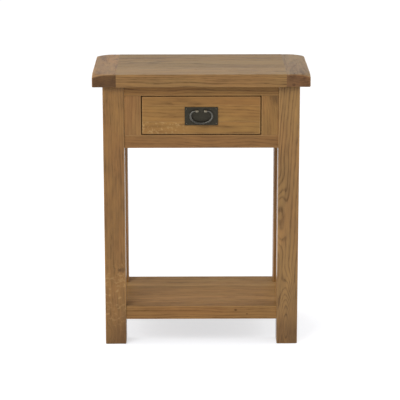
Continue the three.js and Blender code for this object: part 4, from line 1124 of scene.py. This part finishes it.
def iron(name, dark, bright, rubbed, roughness, painted_light_rise=None):
    """Blackened iron, rubbed bright over a share of its surface. Above a rise in mm it is painted
    brighter still, as painted light.
    """
    material, tree = blank_material(name)
    spot = add(tree, "ShaderNodeTexCoord", out="Object")
    spot = add(tree, VECTOR, {0: spot, "Scale": 1 / MM}, operation="SCALE")
    dents = add(tree, NOISE, {"Vector": spot, "Scale": DENT_SCALE, "Detail": 3.0})
    grit = add(tree, NOISE, {"Vector": spot, "Scale": GRIT_SCALE, "Detail": 4.0})
    coarse = add(tree, MATH, (dents, DENT_SHARE), operation="MULTIPLY")
    fine = add(tree, MATH, (grit, GRIT_SHARE), operation="MULTIPLY")
    worn = add(tree, MATH, (coarse, fine))
    worn = add(tree, RANGE, (worn, *(edge - BARE_SHIFT * rubbed for edge in BARE_EDGE)), **SMOOTH)
    # Painted light: above the rise the iron is painted brighter, as if lit more from above.
    if painted_light_rise:
        height = add(tree, "ShaderNodeSeparateXYZ", (spot,), out=2)
        painted_light = add(tree, RANGE, (height, *painted_light_rise), **SMOOTH)
        painted_light = add(tree, MATH, (painted_light, 0.5), operation="MULTIPLY")
        worn = add(tree, MATH, (worn, 0.5), operation="MULTIPLY")
        worn = add(tree, MATH, (worn, painted_light))
    colour = add(tree, MIX, {0: worn, 6: linear(dark), 7: linear(bright)}, **COLOURS)
    dull = add(tree, MATH, (worn, -RUBBED_SHINE), operation="MULTIPLY")
    dull = add(tree, MATH, (dull, roughness))
    height = add(tree, MATH, (grit, GRIT_HEIGHT), operation="MULTIPLY")
    height = add(tree, MATH, (dents, height))
    relief = add(tree, "ShaderNodeBump",
                 {"Height": height, "Distance": IRON_DEPTH * MM, "Strength": IRON_STRENGTH})
    metal = add(tree, "ShaderNodeBsdfPrincipled",
                {"Base Color": colour, "Metallic": 1.0, "Roughness": dull, "Normal": relief})
    add(tree, "ShaderNodeOutputMaterial", {"Surface": metal})
    return material


PLATE_IRON = iron("blackened iron plate", "#3b3830", "#4c4940", rubbed=0.2, roughness=0.55)
# The bail's sides and shoulders are painted brighter than its grip: painted light.
BAIL_IRON = iron("rubbed iron bail with painted light", "#35332e", "#696761", rubbed=0.5, roughness=0.52,
                 painted_light_rise=(644.0, 656.0))
POST_IRON = iron("rubbed iron posts", "#5f594b", "#7e7768", rubbed=0.6, roughness=0.5)
TACK_IRON = iron("rubbed iron tacks", "#4a463b", "#665e50", rubbed=0.6, roughness=0.45)
print("iron's relief is", IRON_DEPTH, "mm deep")

# %% [markdown]
# ## Backplate and posts
# The plate is a thin forged sheet, so it is a worn board of iron whose arris wanders in short
# waves. The two posts are small square blocks with a round shank that goes through plate and
# wood to a nut.

# %% Turning a profile
TURN_STEPS = 20


def turned(name, profile, centre=(0.0, 0.0)):
    """Turns a profile of (radius, depth) pairs, in mm, round a line along Y through (x, z)."""
    shape = bmesh.new()
    rings = []
    for radius, depth in profile:
        ring = []
        for step in range(TURN_STEPS if radius else 1):
            angle = 2 * math.pi * step / TURN_STEPS
            x = centre[0] + radius * math.cos(angle)
            z = centre[1] + radius * math.sin(angle)
            ring.append(shape.verts.new((x * MM, depth * MM, z * MM)))
        rings.append(ring)
    for first, second in zip(rings, rings[1:]):
        for step in range(TURN_STEPS):
            after = (step + 1) % TURN_STEPS
            corners = [first[step % len(first)], first[after % len(first)],
                       second[after % len(second)], second[step % len(second)]]
            shape.faces.new(list(dict.fromkeys(corners)))
    bmesh.ops.recalc_face_normals(shape, faces=shape.faces)
    for face in shape.faces:
        face.smooth = True
    return mesh_of(name, shape)


print("a turned ring has", TURN_STEPS, "steps")

# %% Plate and posts
PLATE_ARRIS = 0.7
PLATE_WANDER = 0.4
PLATE_WANDER_LENGTH = 9.0
PLATE_LINE_EVERY = 2.0
POST_DEPTH = 9.0
POST_ARRIS = 2.7
POST_WANDER = 0.2
POST_WANDER_LENGTH = 4.0
POST_HOLLOWS = 0.3
SHANK_RADIUS = 2.0
SHANK_SUNK = 5.0
SHANK_BEVEL = 0.5

plate = board("iron_backplate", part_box("handle_backplate"), PLATE_IRON, PLATE_ARRIS,
              wander=PLATE_WANDER, wander_length=PLATE_WANDER_LENGTH, line_every=PLATE_LINE_EVERY)
dress(plate, "drawer", "blackened_iron", "handle_backplate")

for side in ("left", "right"):
    low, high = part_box("handle_post_" + side)
    centre = (low + high) / 2 / MM
    corners = (low, Vector((high.x, low.y + POST_DEPTH * MM, high.z)))
    head = board("post_head_" + side, corners, POST_IRON, POST_ARRIS, wander=POST_WANDER,
                 wander_length=POST_WANDER_LENGTH, hollows=POST_HOLLOWS)
    start = low.y / MM + SHANK_SUNK
    tip = high.y / MM
    profile = [(0, start), (SHANK_RADIUS, start), (SHANK_RADIUS, tip - SHANK_BEVEL),
               (SHANK_RADIUS - SHANK_BEVEL, tip), (0, tip)]
    shank = show("shank", turned("shank", profile, (centre.x, centre.z)))
    shank.data.materials.append(POST_IRON)
    post = join("iron_post_" + side, [head, shank])
    dress(post, "drawer", "worn_iron", "handle_post_" + side)

# %% [markdown]
# ## Tacks
# Four small domed tacks fix the plate. One head is turned, and a tree puts it at the four
# corners, each at its own angle, so no two catch the light alike.

# %% Tack tree
def tack_tree():
    """Builds the node group: a head goes in, four of them on a rectangle come out."""
    tree, given = new_tree("tacks", {
        "Geometry": "Geometry", "Middle": "Vector", "Spread X": "Float", "Spread Z": "Float",
        "Seed": "Int", "Finish": "Material"})
    grid = add(tree, "GeometryNodeMeshGrid",
               {"Size X": given["Spread X"], "Size Y": given["Spread Z"],
                "Vertices X": 2, "Vertices Y": 2})
    upright = add(tree, "GeometryNodeTransform",
                  {"Geometry": grid, "Translation": given["Middle"],
                   "Rotation": (math.pi / 2, 0.0, 0.0)})
    spin = add(tree, "FunctionNodeRandomValue", {"Max": 2 * math.pi, "Seed": given["Seed"]},
               out="Value", data_type="FLOAT")
    angle = add(tree, "ShaderNodeCombineXYZ", {1: spin})
    placed = add(tree, "GeometryNodeInstanceOnPoints",
                 {"Points": upright, "Instance": given["Geometry"], "Rotation": angle})
    return end_tree(tree, placed, given["Finish"])


# %% Tacks
TACK_RADIUS = 1.8
TACK_SEED = 5

# Shares of the radius, and depths in mm: the dome, its flat back, and the pin.
TACK_PROFILE = ((0.0, 0.0), (0.5, 0.12), (0.82, 0.45), (1.0, 1.2),
                (0.45, 1.25), (0.4, 6.0), (0.0, 7.5))

near_low, near_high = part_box("handle_tack_lower_left")
far_low, far_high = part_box("handle_tack_upper_right")
first = (near_low + near_high) / 2
last = (far_low + far_high) / 2
middle = Vector(((first.x + last.x) / 2, near_low.y, (first.z + last.z) / 2))
head = turned("tack_head", [(share * TACK_RADIUS, depth) for share, depth in TACK_PROFILE])
tacks = run_tree("iron_tacks", tack_tree(), {
    "Middle": middle, "Spread X": last.x - first.x, "Spread Z": last.z - first.z,
    "Seed": TACK_SEED, "Finish": TACK_IRON}, head)
dress(tacks, "drawer", "blackened_iron", "handle_tack_upper_left", "handle_tack_upper_right",
      "handle_tack_lower_left", "handle_tack_lower_right")

# %% [markdown]
# ## The bail
# The swinging handle is one bar, thin at the pins that sit in the posts, thicker down its sides
# and thickest in the grip. It follows a drawn line: a quarter ellipse at each shoulder and half
# an ellipse below. The line is a curve whose points carry the bar's radius, and a tree sweeps a
# circle along it and dents it a little, as hammering does.

# %% The bail's line
BAIL_HALF = 30.0
BAIL_SHOULDER_DROP = 14.0
BAIL_SHOULDER_RUN = 11.0
BAIL_BOW = 20.2
PIN_X = 9.75
PIN_THICK, SIDE_THICK, GRIP_THICK = 3.4, 6.0, 7.6
BOW_STEPS = 28
SHOULDER_STEPS = 12
BAIL_AXIS = (-153.9, 675.2)


def bail_line():
    """Points of the line from pin to pin: x, z below the axis, and thickness."""
    points = []
    for i in range(BOW_STEPS + 1):
        angle = math.pi / 2 * i / BOW_STEPS
        thick = GRIP_THICK + (SIDE_THICK - GRIP_THICK) * math.sin(angle) ** 2
        z = -BAIL_SHOULDER_DROP - BAIL_BOW * math.cos(angle)
        points.append((BAIL_HALF * math.sin(angle), z, thick))
    for i in range(1, SHOULDER_STEPS + 1):
        angle = math.pi / 2 * i / SHOULDER_STEPS
        thick = SIDE_THICK + (PIN_THICK - SIDE_THICK) * i / SHOULDER_STEPS
        x = BAIL_HALF - BAIL_SHOULDER_RUN + BAIL_SHOULDER_RUN * math.cos(angle)
        points.append((x, BAIL_SHOULDER_DROP * (math.sin(angle) - 1), thick))
    points.append((PIN_X, 0.0, PIN_THICK))
    return [(-x, z, t) for x, z, t in reversed(points[1:])] + points


line = bpy.data.curves.new("bail_line", "CURVE")
line.dimensions = "3D"
spline = line.splines.new("POLY")
places = bail_line()
spline.points.add(len(places) - 1)
for point, (x, z, thick) in zip(spline.points, places):
    point.co = (x * MM, BAIL_AXIS[0] * MM, (BAIL_AXIS[1] + z) * MM, 1.0)
    point.radius = thick / 2 * MM
print("bail line of", len(places), "points")

# %% Bail tree
BAIL_SIDES = 20
BAIL_DENTS = 0.3
BAIL_DENT_LENGTH = 9.0


def bail_tree():
    """Builds the node group: sweeps a circle along the line and dents the bar."""
    tree, given = new_tree("bail", {
        "Geometry": "Geometry", "Sides": "Int", "Dents": "Float", "Dent length": "Float",
        "Finish": "Material"})
    ring = add(tree, "GeometryNodeCurvePrimitiveCircle",
               {"Resolution": given["Sides"], "Radius": 1.0})
    thickness = add(tree, "GeometryNodeInputRadius")
    swept = add(tree, "GeometryNodeCurveToMesh",
                {"Curve": given["Geometry"], "Profile Curve": ring, "Scale": thickness,
                 "Fill Caps": True})
    place = add(tree, "GeometryNodeInputPosition")
    near = add(tree, VECTOR, (place, given["Dent length"]), operation="DIVIDE")
    dent = add(tree, NOISE, {"Vector": near, "Scale": 1.0, "Detail": 1.0})
    dent = add(tree, MATH, (dent, given["Dents"]), operation="MULTIPLY")
    dent = add(tree, MATH, (dent, -1.0), operation="MULTIPLY")
    outwards = add(tree, "GeometryNodeInputNormal")
    inwards = add(tree, VECTOR, {0: outwards, "Scale": dent}, operation="SCALE")
    dented = add(tree, "GeometryNodeSetPosition", {"Geometry": swept, "Offset": inwards})
    smooth = add(tree, "GeometryNodeSetShadeSmooth", {"Geometry": dented})
    return end_tree(tree, smooth, given["Finish"])


bail = run_tree("iron_bail", bail_tree(), {
    "Sides": BAIL_SIDES, "Dents": BAIL_DENTS * MM, "Dent length": BAIL_DENT_LENGTH * MM,
    "Finish": BAIL_IRON}, line)
dress(bail, "bail", "worn_iron", "handle_bail")

# %% [markdown]
# ## Inside the table
# The drawer's box, the runners and the other hidden wood are raw oak, paler than the waxed
# outside, and the screws are bright steel. Their CAD shapes are already right, so they only get
# a finish.

# %% Finishes for the carried-over solids
RAW = dict(paint="#b08d62", wear=0.0, roughness=0.6)

raw_across = oak("raw oak lying across", "X", (0.0, 0.0, 560.0), (0.0, 0.02), **RAW)
raw_back = oak("raw oak lying back", "Y", (40.0, 0.0, 700.0), (0.02, 0.0), **RAW)
steel = iron("zinc plated steel", "#9a9a98", "#c8c8c4", rubbed=0.9, roughness=0.34)
covered = {name for piece in bpy.data.objects for name in piece.get("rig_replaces", [])}
for name, node in frame["nodes"].items():
    if name in covered:
        continue
    if "screw" in name or "nut" in name:
        finish = steel
    elif "dowel" in name or name in ("drawer_back", "drawer_bottom"):
        finish = raw_across
    else:
        finish = raw_back
    for place in node.material_slots:
        place.material = finish
print("CAD solids with a new finish:", len(frame["nodes"]) - len(covered))
